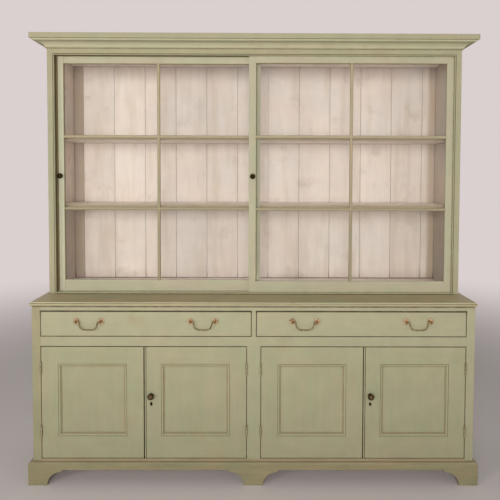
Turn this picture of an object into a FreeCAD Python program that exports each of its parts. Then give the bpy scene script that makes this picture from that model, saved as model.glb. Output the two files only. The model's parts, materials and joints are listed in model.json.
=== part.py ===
import FreeCAD
import Part
import Sketcher
import math
import os

# Painted kitchen dresser: a glazed cupboard with two sliding sashes, standing on a base of two
# drawers and two pairs of panelled doors, on a plinth cut into bracket feet.
# The front faces -Y, +X is to the viewer's right and the floor is at z = 0. Sizes are millimetres.

SIZES = {
    # base carcase and worktop
    "worktop_height": 914,
    "worktop_thick": 20,
    "worktop_nose": 18,
    "worktop_side_overhang": 5,
    "worktop_rounding": 9,
    "worktop_joint_lead": 8,
    "worktop_quirk_drop": 5,
    "worktop_quirk": 2.2,
    "worktop_quirk_depth": 3,
    "base_width": 2190,
    "carcase_depth": 498,
    "base_side_thick": 20,
    "frame_thick": 22,
    "end_stile_width": 42,
    "centre_stile_width": 69,
    "divider_width": 24,
    "top_rail_height": 27,
    "drawer_opening_height": 127,
    "mid_rail_height": 49,
    "bottom_rail_height": 46,
    "tenon_length": 16,
    "tenon_thick": 8,
    "tenon_shoulder": 5,
    "board_thick": 20,
    "housing_depth": 7,
    "back_thick": 12,
    "back_rebate": 10,
    "base_back_pitch": 168,
    "floor_lip": 5,
    "base_shelf_rise": 269,
    "base_shelf_setback": 80,
    "batten_width": 20,
    # plinth
    "plinth_height": 113,
    "plinth_lap": 33,
    "plinth_thick": 19,
    "plinth_rounding": 8,
    "end_foot_width": 93,
    "centre_foot_width": 94,
    "foot_curve": 67,
    "foot_step": 10,
    "arch_height": 78,
    "foot_block_width": 44,
    # drawers
    "drawer_gap": 1.5,
    "drawer_top_gap": 3.5,
    "drawer_front_thick": 20,
    "drawer_lap": 8,
    "drawer_side_thick": 12,
    "drawer_side_height": 104,
    "drawer_depth": 440,
    "drawer_bottom_thick": 6,
    "drawer_bottom_rise": 8,
    "drawer_groove": 5,
    "tail_pin_tip": 6,
    "tail_pin_root": 10,
    "running_clearance": 0.3,
    "runner_width": 40,
    "runner_thick": 18,
    "guide_height": 20,
    "kicker_height": 30,
    # bail handles
    "handle_offset": 281,
    "handle_drop": 51,
    "handle_centres": 122,
    "rose_radius": 15,
    "rose_thick": 3,
    "post_radius": 4,
    "post_head_radius": 6,
    "bail_stand": 16,
    "bail_radius": 3.2,
    "bail_pin_radius": 2.2,
    "bail_pin_clearance": 0.08,
    "bail_drop": 39,
    "bail_neck": 10,
    "bail_elbow": 6,
    "bail_foot": 28,
    "bail_slope": 1,
    # panelled doors
    "door_gap": 1.5,
    "door_top_gap": 2.5,
    "door_meeting_gap": 3.5,
    "door_thick": 21,
    "door_stile_width": 83,
    "door_top_rail": 86,
    "door_bottom_rail": 112,
    "panel_thick": 8,
    "panel_recess": 9,
    "panel_groove": 7,
    "moulding_width": 15,
    "moulding_flat": 4,
    "moulding_drop": 7,
    "moulding_quirk": 1.5,
    "moulding_quirk_depth": 2.5,
    "quirk_bead_radius": 4,
    "quirk_width": 2,
    "knob_reach": 30,
    "knob_radius": 16,
    "knob_neck_radius": 5,
    "knob_rose_radius": 11,
    "knob_rose_thick": 3,
    "knob_rose_slope_share": 1.35,
    "knob_dome_share": 0.55,
    "knob_under_share": 0.4,
    "knob_swell_share": 0.9,
    "knob_edge_distance": 34,
    "knob_rise": 319,
    "keyhole_drop": 40,
    # hinges
    "hinge_height": 60,
    "upper_hinge_drop": 111,
    "lower_hinge_rise": 139,
    "leaf_thick": 2,
    "leaf_width": 18,
    "leaf_start": 0.2,
    "knuckle_radius": 3.5,
    "knuckle_clearance": 0.3,
    "hinge_pin_radius": 1.75,
    "hinge_pin_clearance": 0.08,
    # locks
    "lock_width": 48,
    "lock_height": 60,
    "lock_thick": 11,
    "bolt_thick": 5,
    "bolt_height": 14,
    "bolt_length": 30,
    "bolt_throw": 8,
    "bolt_clearance": 0.3,
    "keyhole_radius": 3.5,
    "keyhole_slot": 3.5,
    "keyhole_length": 13,
    "keyhole_depth": 6,
    "escutcheon_rim": 2.5,
    "escutcheon_proud": 0.8,
    # glazed top
    "top_inset": 22,
    "top_setback": 164,
    "top_height": 1320,
    "top_side_thick": 22,
    "top_frame_thick": 20,
    "top_stile_width": 28,
    "bead_width": 8,
    "bead_proud": 2.5,
    "bead_depth": 8.5,
    "bead_quirk": 2.4,
    "bead_quirk_depth": 2,
    "head_height": 69.5,
    "ceiling_thick": 20,
    "sill_bead_height": 8.5,
    "runner_board_thick": 3,
    "parting_thick": 5,
    "parting_height": 8,
    "parting_proud": 10.5,
    "jamb_thick": 9,
    "shelf_thick": 20,
    "lower_shelf_rise": 464.5,
    "upper_shelf_rise": 829.5,
    "shelf_gap": 6,
    "back_board_pitch": 179,
    "back_board_shift": -11,
    "back_board_joint": 0.8,
    "back_board_groove": 2,
    "narrowest_board": 30,
    # sliding sashes
    "sash_overlap": 60,
    "sash_thick": 22,
    "sash_recess": 7,
    "sash_gap": 0.5,
    "sash_top_gap": 1.5,
    "sash_end_gap": 1,
    "sash_stile_width": 41,
    "sash_top_rail": 45.5,
    "sash_bottom_rail": 64.5,
    "sash_bar": 16,
    "sash_moulding": 6,
    "sash_lip": 4,
    "glass_thick": 2,
    "glass_bite": 4.5,
    "sash_knob_rise": 618,
    "sash_knob_radius": 14,
    "sash_knob_reach": 26,
    # cornice
    "cornice_height": 63,
    "cornice_projection": 65,
    "cornice_fillet": 8,
    "cornice_fillet_height": 5.5,
    "cornice_cove_reach": 42,
    "cornice_cove_height": 22,
    "cornice_cove_radius": 40,
    "cornice_ovolo_reach": 8,
    "cornice_ovolo_height": 10,
    "cornice_above_carcase": 20,
    # workshop
    "overrun": 5,
}

doc = FreeCAD.newDocument("Dresser")
sheet = doc.addObject("Spreadsheet::Sheet", "Sizes")
for row, (name, number) in enumerate(SIZES.items(), start=1):
    sheet.set(f"A{row}", name)
    sheet.set(f"B{row}", str(number))
    sheet.setAlias(f"B{row}", name)
doc.recompute()


class Size:
    """A length that carries both its number and the formula that ties it to the sheet."""

    def __init__(self, number, formula):
        self.number = float(number)
        self.formula = formula

    def __float__(self):
        return self.number

    def __neg__(self):
        return Size(-self.number, f"(0 - {self.formula})")

    def __add__(self, other):
        other = as_size(other)
        return Size(self.number + other.number, f"({self.formula} + {other.formula})")

    __radd__ = __add__

    def __sub__(self, other):
        other = as_size(other)
        return Size(self.number - other.number, f"({self.formula} - {other.formula})")

    def __rsub__(self, other):
        return as_size(other) - self

    def __mul__(self, other):
        other = as_size(other)
        return Size(self.number * other.number, f"({self.formula} * {other.formula})")

    __rmul__ = __mul__

    def __truediv__(self, other):
        other = as_size(other)
        return Size(self.number / other.number, f"({self.formula} / {other.formula})")


def as_size(value):
    return value if isinstance(value, Size) else Size(value, str(value))


class Sheet:
    """Each named size of the sheet, as an attribute."""


s = Sheet()
for name, number in SIZES.items():
    setattr(s, name, Size(number, "Sizes." + name))

AXES = {"x": FreeCAD.Vector(1, 0, 0), "y": FreeCAD.Vector(0, 1, 0), "z": FreeCAD.Vector(0, 0, 1)}
IN_LINE = 1e-6
nodes = []


def root(size):
    """The square root of a size."""
    return Size(math.sqrt(size.number), f"sqrt({size.formula})")


def bind(item, prop, size):
    """Ties a property to the sheet."""
    item.setExpression(prop, as_size(size).formula)


def place(item, x, y, z):
    """Ties the position of a piece to the sheet."""
    for axis, size in (("x", x), ("y", y), ("z", z)):
        bind(item, "Placement.Base." + axis, size)


def between(first, second):
    """The two lengths as a low and a high end."""
    return (first, second) if float(first) <= float(second) else (second, first)


def about(middle, size):
    """The low and the high end of a size about its middle."""
    return (middle - size / 2, middle + size / 2)


def grown(span, clearance):
    """A low and a high end, both moved out by a clearance."""
    return (span[0] - clearance, span[1] + clearance)


def board(name, x, y, z):
    """A planed board between a low and a high plane on each axis."""
    piece = doc.addObject("Part::Box", name)
    bind(piece, "Length", x[1] - x[0])
    bind(piece, "Width", y[1] - y[0])
    bind(piece, "Height", z[1] - z[0])
    place(piece, x[0], y[0], z[0])
    return piece


def rod(name, radius, start, length, axis):
    """A round bar that starts at a point and runs along +X, +Y or +Z."""
    piece = doc.addObject("Part::Cylinder", name)
    bind(piece, "Radius", radius)
    bind(piece, "Height", length)
    piece.Placement.Rotation = FreeCAD.Rotation(FreeCAD.Vector(0, 0, 1), AXES[axis])
    place(piece, *start)
    return piece


def group(name, members):
    """Separate solids that stay separate, kept together."""
    bundle = doc.addObject("Part::Compound", name)
    bundle.Links = members
    return bundle


def cut(name, base, tools):
    """A piece with the space of other pieces taken out of it."""
    piece = doc.addObject("Part::Cut", name)
    piece.Base = base
    piece.Tool = tools[0] if len(tools) == 1 else group(name + "_tools", tools)
    return piece


def joined(name, members):
    """Pieces made in one."""
    piece = doc.addObject("Part::MultiFuse", name)
    piece.Shapes = members
    piece.Refine = True
    return piece


def mirrored(name, source, x=None, z=None):
    """The opposite hand of a piece, about a plane across X, or across Z when z is given."""
    piece = doc.addObject("Part::Mirroring", name)
    piece.Source = source
    if z is None:
        piece.Normal = FreeCAD.Vector(1, 0, 0)
        bind(piece, "Base.x", 0 if x is None else x)
    else:
        piece.Normal = FreeCAD.Vector(0, 0, 1)
        bind(piece, "Base.z", z)
    return piece


def keep(label, piece):
    """Hands a finished sub-part over under its own label."""
    piece.Label = label
    nodes.append(piece)
    return piece


def dimension(sketch, kind, where, size):
    """Adds a dimension that follows the sheet."""
    row = sketch.addConstraint(Sketcher.Constraint(kind, *where, float(size)))
    bind(sketch, f"Constraints[{row}]", size)


def pin(sketch, edge, tip, point):
    """Dimensions one end of an edge from the two axes of its sketch."""
    for kind, axis, size in (("DistanceX", -2, point[0]), ("DistanceY", -1, point[1])):
        if float(size) == 0:
            sketch.addConstraint(Sketcher.Constraint("PointOnObject", edge, tip, axis))
        else:
            dimension(sketch, kind, (edge, tip), size)


def arc(sketch, start, end, size, turn):
    """Draws an arc of under half a circle that turns left or right, and names its two ends."""
    radius = float(size)
    left = turn == "left"
    chord = end - start
    away = math.sqrt(max(radius**2 - (chord.Length / 2) ** 2, 0))
    normal = FreeCAD.Vector(-chord.y, chord.x, 0).normalize()
    centre = (start + end) / 2 + normal * (away if left else -away)
    first, last = (start, end) if left else (end, start)
    opening = math.atan2(first.y - centre.y, first.x - centre.x)
    closing = math.atan2(last.y - centre.y, last.x - centre.x)
    if closing <= opening:
        closing += 2 * math.pi
    circle = Part.Circle(centre, FreeCAD.Vector(0, 0, 1), radius)
    edge = sketch.addGeometry(Part.ArcOfCircle(circle, opening, closing), False)
    dimension(sketch, "Radius", (edge,), size)
    return (edge, 1, 2) if left else (edge, 2, 1)


def draw(sketch, corners, closed=True):
    """Draws through corners. One is (u, v), or (u, v, radius, turn) where an arc leads to it."""
    points = [(as_size(corner[0]), as_size(corner[1])) for corner in corners]
    places = [FreeCAD.Vector(float(u), float(v), 0) for u, v in points]
    first = 0 if closed else 1
    tips = []
    for row in range(first, len(corners)):
        start, end = places[row - 1], places[row]
        if len(corners[row]) == 2:
            tips.append((sketch.addGeometry(Part.LineSegment(start, end), False), 1, 2))
        else:
            tips.append(arc(sketch, start, end, corners[row][2], corners[row][3]))
    for row, (edge, _, end) in enumerate(tips):
        pin(sketch, edge, end, points[row + first])
        if closed or row + 1 < len(tips):
            following = tips[(row + 1) % len(tips)]
            sketch.addConstraint(Sketcher.Constraint("Coincident", edge, end, following[0], following[1]))
    if not closed:
        pin(sketch, tips[0][0], tips[0][1], points[0])


def sketch_on(body, plane, offset, name):
    """An empty sketch on a plane beside one of the body's origin planes."""
    sketch = body.newObject("Sketcher::SketchObject", name)
    side = next(item for item in body.Origin.OriginFeatures if item.Role == plane)
    sketch.AttachmentSupport = [(side, "")]
    sketch.MapMode = "FlatFace"
    bind(sketch, "AttachmentOffset.Base.z", offset)
    return sketch


def outline(body, plane, offset, corners):
    """A closed outline on a plane beside one of the body's origin planes."""
    sketch = sketch_on(body, plane, offset, body.Name + "_outline")
    draw(sketch, corners)
    return sketch


def moulded(name, plane, corners, low, high):
    """A body with one section from end to end, between two planes across the section."""
    body = doc.addObject("PartDesign::Body", name)
    offset = -high if plane == "XZ_Plane" else low
    section = outline(body, plane, offset, corners)
    pad = body.newObject("PartDesign::Pad", name + "_pad")
    pad.Profile = section
    bind(pad, "Length", high - low)
    body.Tip = pad
    return body


def trimmed(body, plane, beyond, corners):
    """Cuts an outline right through a body, from a plane just beyond it."""
    offset = -beyond if plane == "XZ_Plane" else beyond
    section = outline(body, plane, offset, corners)
    pocket = body.newObject("PartDesign::Pocket", body.Name + "_trim")
    pocket.Profile = section
    pocket.Type = "ThroughAll"
    body.Tip = pocket
    return body


def mitre(body, plane, beyond, outer, inner, keep_outer_u):
    """Cuts the end of a moulding on the 45 degree line through an outer and an inner corner."""
    u_way = 1 if float(outer[0]) > float(inner[0]) else -1
    v_way = 1 if float(outer[1]) > float(inner[1]) else -1
    far = (outer[0] + u_way * s.overrun, outer[1] + v_way * s.overrun)
    near = (inner[0] - u_way * s.overrun, inner[1] - v_way * s.overrun)
    square = (far[0], near[1]) if keep_outer_u else (near[0], far[1])
    return trimmed(body, plane, beyond, [far, near, square])


def turned(name, corners, x, y, z):
    """A turned piece whose axis runs along Y, from its section (radius, distance along Y)."""
    body = doc.addObject("PartDesign::Body", name)
    section = outline(body, "XY_Plane", 0, corners)
    spin = body.newObject("PartDesign::Revolution", name + "_turning")
    spin.Profile = section
    spin.ReferenceAxis = (section, ["V_Axis"])
    spin.Angle = 360
    body.Tip = spin
    place(body, x, y, z)
    return body


def rounded(body, radius, chosen):
    """Rounds the edges of a body that a test picks out."""
    doc.recompute()
    base = body.Tip
    names = [f"Edge{row}" for row, edge in enumerate(base.Shape.Edges, start=1) if chosen(edge)]
    fillet = body.newObject("PartDesign::Fillet", body.Name + "_rounding")
    fillet.Base = (base, names)
    bind(fillet, "Radius", radius)
    body.Tip = fillet
    return body


# Planes that the base is set out from
face = (s.knob_reach - s.carcase_depth) / 2
back = face + s.carcase_depth
behind_frame = face + s.frame_thick
board_back = back - s.back_thick
half_base = s.base_width / 2
inside_base = half_base - s.base_side_thick
opening_edge = half_base - s.end_stile_width
centre_edge = s.centre_stile_width / 2
divider_edge = s.divider_width / 2
worktop_under = s.worktop_height - s.worktop_thick
drawer_top = worktop_under - s.top_rail_height
drawer_low = drawer_top - s.drawer_opening_height
door_top = drawer_low - s.mid_rail_height
carcase_low = s.plinth_height - s.plinth_lap
door_low = carcase_low + s.bottom_rail_height
floor_top = door_low + s.floor_lip
shelf_top = floor_top + s.base_shelf_rise
handle_z = drawer_top - s.handle_drop
knob_z = door_low + s.knob_rise
lock_z = knob_z - s.keyhole_drop
lock_y = (face + s.door_thick - s.lock_thick, face + s.door_thick)
bolt_y = about((lock_y[0] + lock_y[1]) / 2, s.bolt_thick)
bolt_z = about(lock_z, s.bolt_height)

# Planes that the glazed top is set out from
top_face = face + s.top_setback
half_top = half_base - s.top_inset
inside_top = half_top - s.top_side_thick
bead_outer = half_top - s.top_stile_width
bead_inner = bead_outer - s.bead_width
frame_back = top_face + s.top_frame_thick
jamb_face = inside_top - s.jamb_thick
front_sash = top_face + s.sash_recess
parting_face = front_sash + s.sash_thick + s.sash_gap
rear_sash = parting_face + s.parting_thick + s.sash_gap
guide_face = rear_sash + s.sash_thick + s.sash_gap
guide_back = guide_face + s.parting_thick
carcase_top = s.worktop_height + s.top_height
opening_top = carcase_top - s.head_height
cornice_top = carcase_top + s.cornice_above_carcase
sash_knob_z = s.worktop_height + s.sash_knob_rise
sash_width = jamb_face - s.sash_end_gap + s.sash_overlap / 2


def at_edge(distance, axis):
    """A test for straight edges that lie in one plane across an axis."""

    def test(edge):
        box = edge.BoundBox
        low, high = (box.XMin, box.XMax) if axis == "x" else (box.YMin, box.YMax)
        return abs(low - float(distance)) < IN_LINE and abs(high - float(distance)) < IN_LINE

    return test


# Worktop of two boards, jointed just in front of the glazed top, with a rounded nosing and a quirk
# near the top of it on its front and ends
def worktop():
    half = half_base + s.worktop_side_overhang
    nose = face - s.worktop_nose
    corners = [(-half, nose), (half, nose), (half, back), (-half, back)]
    body = moulded("worktop_body", "XY_Plane", corners, worktop_under, s.worktop_height)
    front, left, right = at_edge(nose, "y"), at_edge(-half, "x"), at_edge(half, "x")

    def long_edge(edge):
        flat = edge.BoundBox.ZLength < IN_LINE
        return flat and (front(edge) or left(edge) or right(edge))

    rounded(body, s.worktop_rounding, long_edge)
    joint = top_face - s.bead_proud - s.worktop_joint_lead
    across = (-half - s.overrun, half + s.overrun)
    through = (worktop_under - s.overrun, s.worktop_height + s.overrun)
    before = board("worktop_before_joint", across, (nose - s.overrun, joint), through)
    behind = board("worktop_behind_joint", across, (joint, back + s.overrun), through)
    quirk_top = s.worktop_height - s.worktop_quirk_drop
    quirk_z = (quirk_top - s.worktop_quirk, quirk_top)
    along = (nose - s.overrun, back + s.overrun)
    end = (half - s.worktop_quirk_depth, half + s.overrun)
    front_quirk = board("front_quirk", across, (nose - s.overrun, nose + s.worktop_quirk_depth), quirk_z)
    right_quirk = board("right_quirk", end, along, quirk_z)
    quirk = joined("worktop_quirk", [front_quirk, right_quirk, mirrored("left_quirk", right_quirk)])
    body = cut("worktop_moulded", body, [quirk])
    boards = [cut("worktop_front_board", body, [behind]), cut("worktop_rear_board", body, [before])]
    keep("worktop", group("worktop_group", boards))


# Face frame of the base: rails tenoned into the stiles, and the uprights tenoned into the rails
def tenoned(name, x, y, z, along):
    """A rail or upright with a tenon at both ends, along X or Z."""
    body = board(name + "_length", x, y, z)
    tongue_y = about((y[0] + y[1]) / 2, s.tenon_thick)
    if along == "x":
        tongue_x = (x[0] - s.tenon_length, x[1] + s.tenon_length)
        tongue_z = (z[0] + s.tenon_shoulder, z[1] - s.tenon_shoulder)
    else:
        tongue_x = (x[0] + s.tenon_shoulder, x[1] - s.tenon_shoulder)
        tongue_z = (z[0] - s.tenon_length, z[1] + s.tenon_length)
    tongue = board(name + "_tongue", tongue_x, tongue_y, tongue_z)
    return joined(name, [body, tongue])


def base_frame(leaf_recesses):
    y = (face, behind_frame)
    wide = (-opening_edge, opening_edge)
    divider = tenoned("drawer_divider", (-divider_edge, divider_edge), y, (drawer_low, drawer_top), "z")
    centre = tenoned("centre_stile", (-centre_edge, centre_edge), y, (door_low, door_top), "z")
    top_rail = cut("top_rail", tenoned("top_rail_raw", wide, y, (drawer_top, worktop_under), "x"), [divider])
    mid_raw = tenoned("mid_rail_raw", wide, y, (door_top, drawer_low), "x")
    mid_rail = cut("mid_rail", mid_raw, [divider, centre])
    low_rail = cut("low_rail", tenoned("low_rail_raw", wide, y, (carcase_low, door_low), "x"), [centre])
    rails = [top_rail, mid_rail, low_rail]
    z = (carcase_low, worktop_under)
    left = board("end_stile_left_raw", (-half_base, -opening_edge), y, z)
    right = board("end_stile_right_raw", (opening_edge, half_base), y, z)
    left_stile = cut("end_stile_left", left, rails + leaf_recesses["end_left"])
    right_stile = cut("end_stile_right", right, rails + leaf_recesses["end_right"])
    centre_stile = cut("centre_stile_recessed", centre, leaf_recesses["centre"])
    return keep("base_face_frame", group("base_face_frame_group",
                                         [left_stile, right_stile, centre_stile, divider] + rails))


# Upright boards of a back, with a small V at each joint
def back_boards(name, half_width, pitch, shift, z, thick):
    front = back - thick
    reach = float(half_width - s.narrowest_board)
    steps = range(-40, 40)
    joints = [step * pitch + pitch / 2 + shift for step in steps]
    joints = [joint for joint in joints if abs(float(joint)) < reach]
    lows = [-half_width] + [joint + s.back_board_joint / 2 for joint in joints]
    highs = [joint - s.back_board_joint / 2 for joint in joints] + [half_width]
    boards = []
    for row, (low, high) in enumerate(zip(lows, highs), start=1):
        boards.append(board(f"{name}_board_{row}", (low, high), (front, back), z))
    side = s.back_board_groove * root(as_size(2))
    grooves = []
    for row, joint in enumerate(joints, start=1):
        bar = doc.addObject("Part::Box", f"{name}_groove_{row}")
        bind(bar, "Length", side)
        bind(bar, "Width", side)
        bind(bar, "Height", z[1] - z[0] + 2 * s.overrun)
        bar.Placement.Rotation = FreeCAD.Rotation(FreeCAD.Vector(0, 0, 1), 45)
        place(bar, joint, front - s.back_board_groove, z[0] - s.overrun)
        grooves.append(bar)
    return keep(name, cut(name + "_grooved", group(name + "_boards", boards), grooves))


def base_carcase():
    inner = (behind_frame, board_back)
    reach = inside_base + s.housing_depth
    floor = board("base_floor_board", (-reach, reach), inner, (floor_top - s.board_thick, floor_top))
    keep("base_floor", floor)
    rebate_x = (inside_base, inside_base + s.back_rebate)
    upright = (carcase_low, worktop_under)
    rebate = board("base_back_rebate", rebate_x, (board_back, back), upright)
    side = board("base_side_raw", (inside_base, half_base), (behind_frame, back), upright)
    right = keep("base_side_right", cut("base_side_cut", side, [rebate, floor]))
    keep("base_side_left", mirrored("base_side_mirror", right))
    keep("base_partition", board("base_partition_board", (-divider_edge, divider_edge), inner,
                                 (floor_top, worktop_under)))
    back_boards("base_back_boards", inside_base + s.back_rebate, s.base_back_pitch, 0,
                upright, s.back_thick)
    shelf_z = (shelf_top - s.board_thick, shelf_top)
    shelf_y = (behind_frame + s.base_shelf_setback, board_back)
    shelf = board("base_shelf_board", (divider_edge, inside_base), shelf_y, shelf_z)
    keep("base_shelves", group("base_shelves_group", [shelf, mirrored("base_shelf_mirror", shelf)]))
    batten_z = (shelf_z[0] - s.batten_width, shelf_z[0])
    outer = board("batten_outer", (inside_base - s.batten_width, inside_base), shelf_y, batten_z)
    inner_batten = board("batten_inner", (divider_edge, divider_edge + s.batten_width), shelf_y, batten_z)
    battens = [outer, inner_batten, mirrored("batten_outer_mirror", outer),
               mirrored("batten_inner_mirror", inner_batten)]
    keep("shelf_battens", group("shelf_battens_group", battens))


# Runners under the drawer sides, guides beside them and kickers over them
def drawer_runners():
    y = (behind_frame, board_back)
    under = (drawer_low - s.runner_thick, drawer_low)
    outer_x = (inside_base - s.runner_width, inside_base)
    inner_x = (divider_edge, divider_edge + s.runner_width)
    kick_z = (worktop_under - s.kicker_height, worktop_under)
    pieces = [
        board("runner_outer", outer_x, y, under),
        board("runner_inner", inner_x, y, under),
        board("guide_outer", (opening_edge, inside_base), y, (drawer_low, drawer_low + s.guide_height)),
        board("kicker_outer", outer_x, y, kick_z),
        board("kicker_inner", inner_x, y, kick_z),
    ]
    pieces += [mirrored(piece.Name + "_mirror", piece) for piece in pieces]
    keep("drawer_runners", group("drawer_runners_group", pieces))


# Plinth: boards planted round the carcase, cut out into bracket feet
def bracket_arch(left_foot, right_foot):
    """The corners of one arch, from the foot on its left to the foot on its right."""
    left_curve = left_foot + s.foot_curve
    right_curve = right_foot - s.foot_curve
    return [
        (left_foot, 0),
        (left_curve, s.foot_curve, s.foot_curve, "right"),
        (left_curve + s.foot_step, s.arch_height),
        (right_curve - s.foot_step, s.arch_height),
        (right_curve, s.foot_curve),
        (right_foot, 0, s.foot_curve, "right"),
    ]


def plinth():
    outer = half_base + s.plinth_thick
    front = face - s.plinth_thick
    centre = s.centre_foot_width / 2
    foot = outer - s.end_foot_width
    corners = [(-outer, 0)] + bracket_arch(-foot, -centre) + bracket_arch(centre, foot)
    corners += [(outer, 0), (outer, s.plinth_height), (-outer, s.plinth_height)]
    body = moulded("plinth_front_body", "XZ_Plane", corners, front, face)
    top_front = at_edge(front, "y")

    def top_edge(edge):
        return top_front(edge) and edge.BoundBox.ZMin > float(s.plinth_height) - IN_LINE

    rounded(body, s.plinth_rounding, top_edge)
    above = s.plinth_height + s.overrun
    mitre(body, "XY_Plane", above, (outer, front), (half_base, face), True)
    mitre(body, "XY_Plane", above, (-outer, front), (-half_base, face), True)
    keep("plinth_front", body)
    corners = [(front, 0)] + bracket_arch(front + s.end_foot_width, back - s.end_foot_width)
    corners += [(back, 0), (back, s.plinth_height), (front, s.plinth_height)]
    side = moulded("plinth_return_body", "YZ_Plane", corners, half_base, outer)
    side_face = at_edge(outer, "x")

    def top_side_edge(edge):
        return side_face(edge) and edge.BoundBox.ZMin > float(s.plinth_height) - IN_LINE

    rounded(side, s.plinth_rounding, top_side_edge)
    mitre(side, "XY_Plane", above, (outer, front), (half_base, face), False)
    keep("plinth_returns", group("plinth_returns_group", [side, mirrored("plinth_return_mirror", side)]))
    width = s.foot_block_width
    upright = (0, carcase_low)
    corner_x = (half_base - width, half_base)
    blocks = [
        board("foot_block_front", corner_x, (face, face + width), upright),
        board("foot_block_rear", corner_x, (back - width, back), upright),
    ]
    blocks += [mirrored(block.Name + "_mirror", block) for block in blocks]
    blocks.append(board("foot_block_centre", (-width, width), (face, face + width), upright))
    blocks.append(board("foot_block_centre_rear", (-width, width), (back - width, back), upright))
    keep("foot_blocks", group("foot_blocks_group", blocks))


# Butt hinges: the fixed leaf carries the pin, and the door's leaf turns on it
def hinge_parts(name, gap_centre, way, centre):
    """Both halves of one hinge and their recesses. The door lies on the side that way points to."""
    axis_y = face - s.knuckle_radius - s.knuckle_clearance
    low = centre - s.hinge_height / 2
    step = s.hinge_height / 5
    plate_y = (face + s.leaf_start, face + s.leaf_width)
    plate_z = (low, low + s.hinge_height)
    near = gap_centre + way * s.door_gap / 2
    far = near + way * s.leaf_thick
    fixed_near = gap_centre - way * s.door_gap / 2
    fixed_far = fixed_near - way * s.leaf_thick
    pin_start = (gap_centre, axis_y, low)
    halves = {}
    leaves = (("fixed", fixed_near, fixed_far, (0, 2, 4)), ("moving", near, far, (1, 3)))
    for half, inner_x, outer_x, rows in leaves:
        part = f"{name}_{half}"
        x = between(inner_x, outer_x)
        pieces = [board(part + "_plate", x, plate_y, plate_z)]
        for row in rows:
            start = low + row * step + s.knuckle_clearance / 2
            tall = step - s.knuckle_clearance
            knuckle_start = (gap_centre, axis_y, start)
            pieces.append(rod(f"{part}_knuckle_{row}", s.knuckle_radius, knuckle_start, tall, "z"))
            pieces.append(board(f"{part}_web_{row}", x, (axis_y, plate_y[0]), (start, start + tall)))
        if half == "fixed":
            pieces.append(rod(name + "_pin", s.hinge_pin_radius, pin_start, s.hinge_height, "z"))
            halves[half] = joined(part, pieces)
        else:
            solid = joined(part + "_solid", pieces)
            bore_radius = s.hinge_pin_radius + s.hinge_pin_clearance
            bore = rod(name + "_bore", bore_radius, pin_start, s.hinge_height, "z")
            halves[half] = cut(part, solid, [bore])
    recess_y = (face, plate_y[1])
    fixed_recess = board(name + "_fixed_recess", between(fixed_near, fixed_far), recess_y, plate_z)
    door_recess = board(name + "_door_recess", between(near, far), recess_y, plate_z)
    return halves["fixed"], halves["moving"], fixed_recess, door_recess


# Knobs
def knob(name, x, y, z, radius, reach):
    """A turned brass knob on a round rose, standing out from y towards the front."""
    dome = radius * s.knob_dome_share
    rim = reach - dome
    corners = [
        (0, 0),
        (s.knob_rose_radius, 0),
        (s.knob_rose_radius, -s.knob_rose_thick),
        (s.knob_neck_radius, -s.knob_rose_thick * s.knob_rose_slope_share),
        (s.knob_neck_radius, -(rim - radius * s.knob_under_share)),
        (radius, -rim, radius * s.knob_swell_share, "right"),
        (0, -reach, (radius * radius + dome * dome) / (2 * dome), "right"),
    ]
    return turned(name, corners, x, y, z)


# Panelled doors
def panel_moulding(name, x, z):
    """Four mitred lengths of ovolo moulding round the inside of a door's frame, each with a narrow
    quirk where it meets the frame."""
    panel_face = face + s.panel_recess
    step = s.moulding_flat
    drop = s.moulding_drop
    width = s.moulding_width
    quirk = s.moulding_quirk
    floor = face + s.moulding_quirk_depth
    before = face - s.overrun
    top = moulded(name + "_top", "YZ_Plane", [
        (panel_face, z[1]),
        (floor, z[1]),
        (floor, z[1] - quirk),
        (face, z[1] - quirk),
        (face, z[1] - step),
        (face + drop, z[1] - step - drop, drop, "left"),
        (face + drop, z[1] - width),
        (panel_face, z[1] - width),
    ], x[0], x[1])
    mitre(top, "XZ_Plane", before, (x[0], z[1]), (x[0] + width, z[1] - width), True)
    mitre(top, "XZ_Plane", before, (x[1], z[1]), (x[1] - width, z[1] - width), True)
    left = moulded(name + "_left", "XY_Plane", [
        (x[0], panel_face),
        (x[0], floor),
        (x[0] + quirk, floor),
        (x[0] + quirk, face),
        (x[0] + step, face),
        (x[0] + step + drop, face + drop, drop, "left"),
        (x[0] + width, face + drop),
        (x[0] + width, panel_face),
    ], z[0], z[1])
    mitre(left, "XZ_Plane", before, (x[0], z[1]), (x[0] + width, z[1] - width), False)
    mitre(left, "XZ_Plane", before, (x[0], z[0]), (x[0] + width, z[0] + width), False)
    low = mirrored(name + "_low", top, z=(z[0] + z[1]) / 2)
    right = mirrored(name + "_right", left, x=(x[0] + x[1]) / 2)
    return [top, left, low, right]


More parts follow.
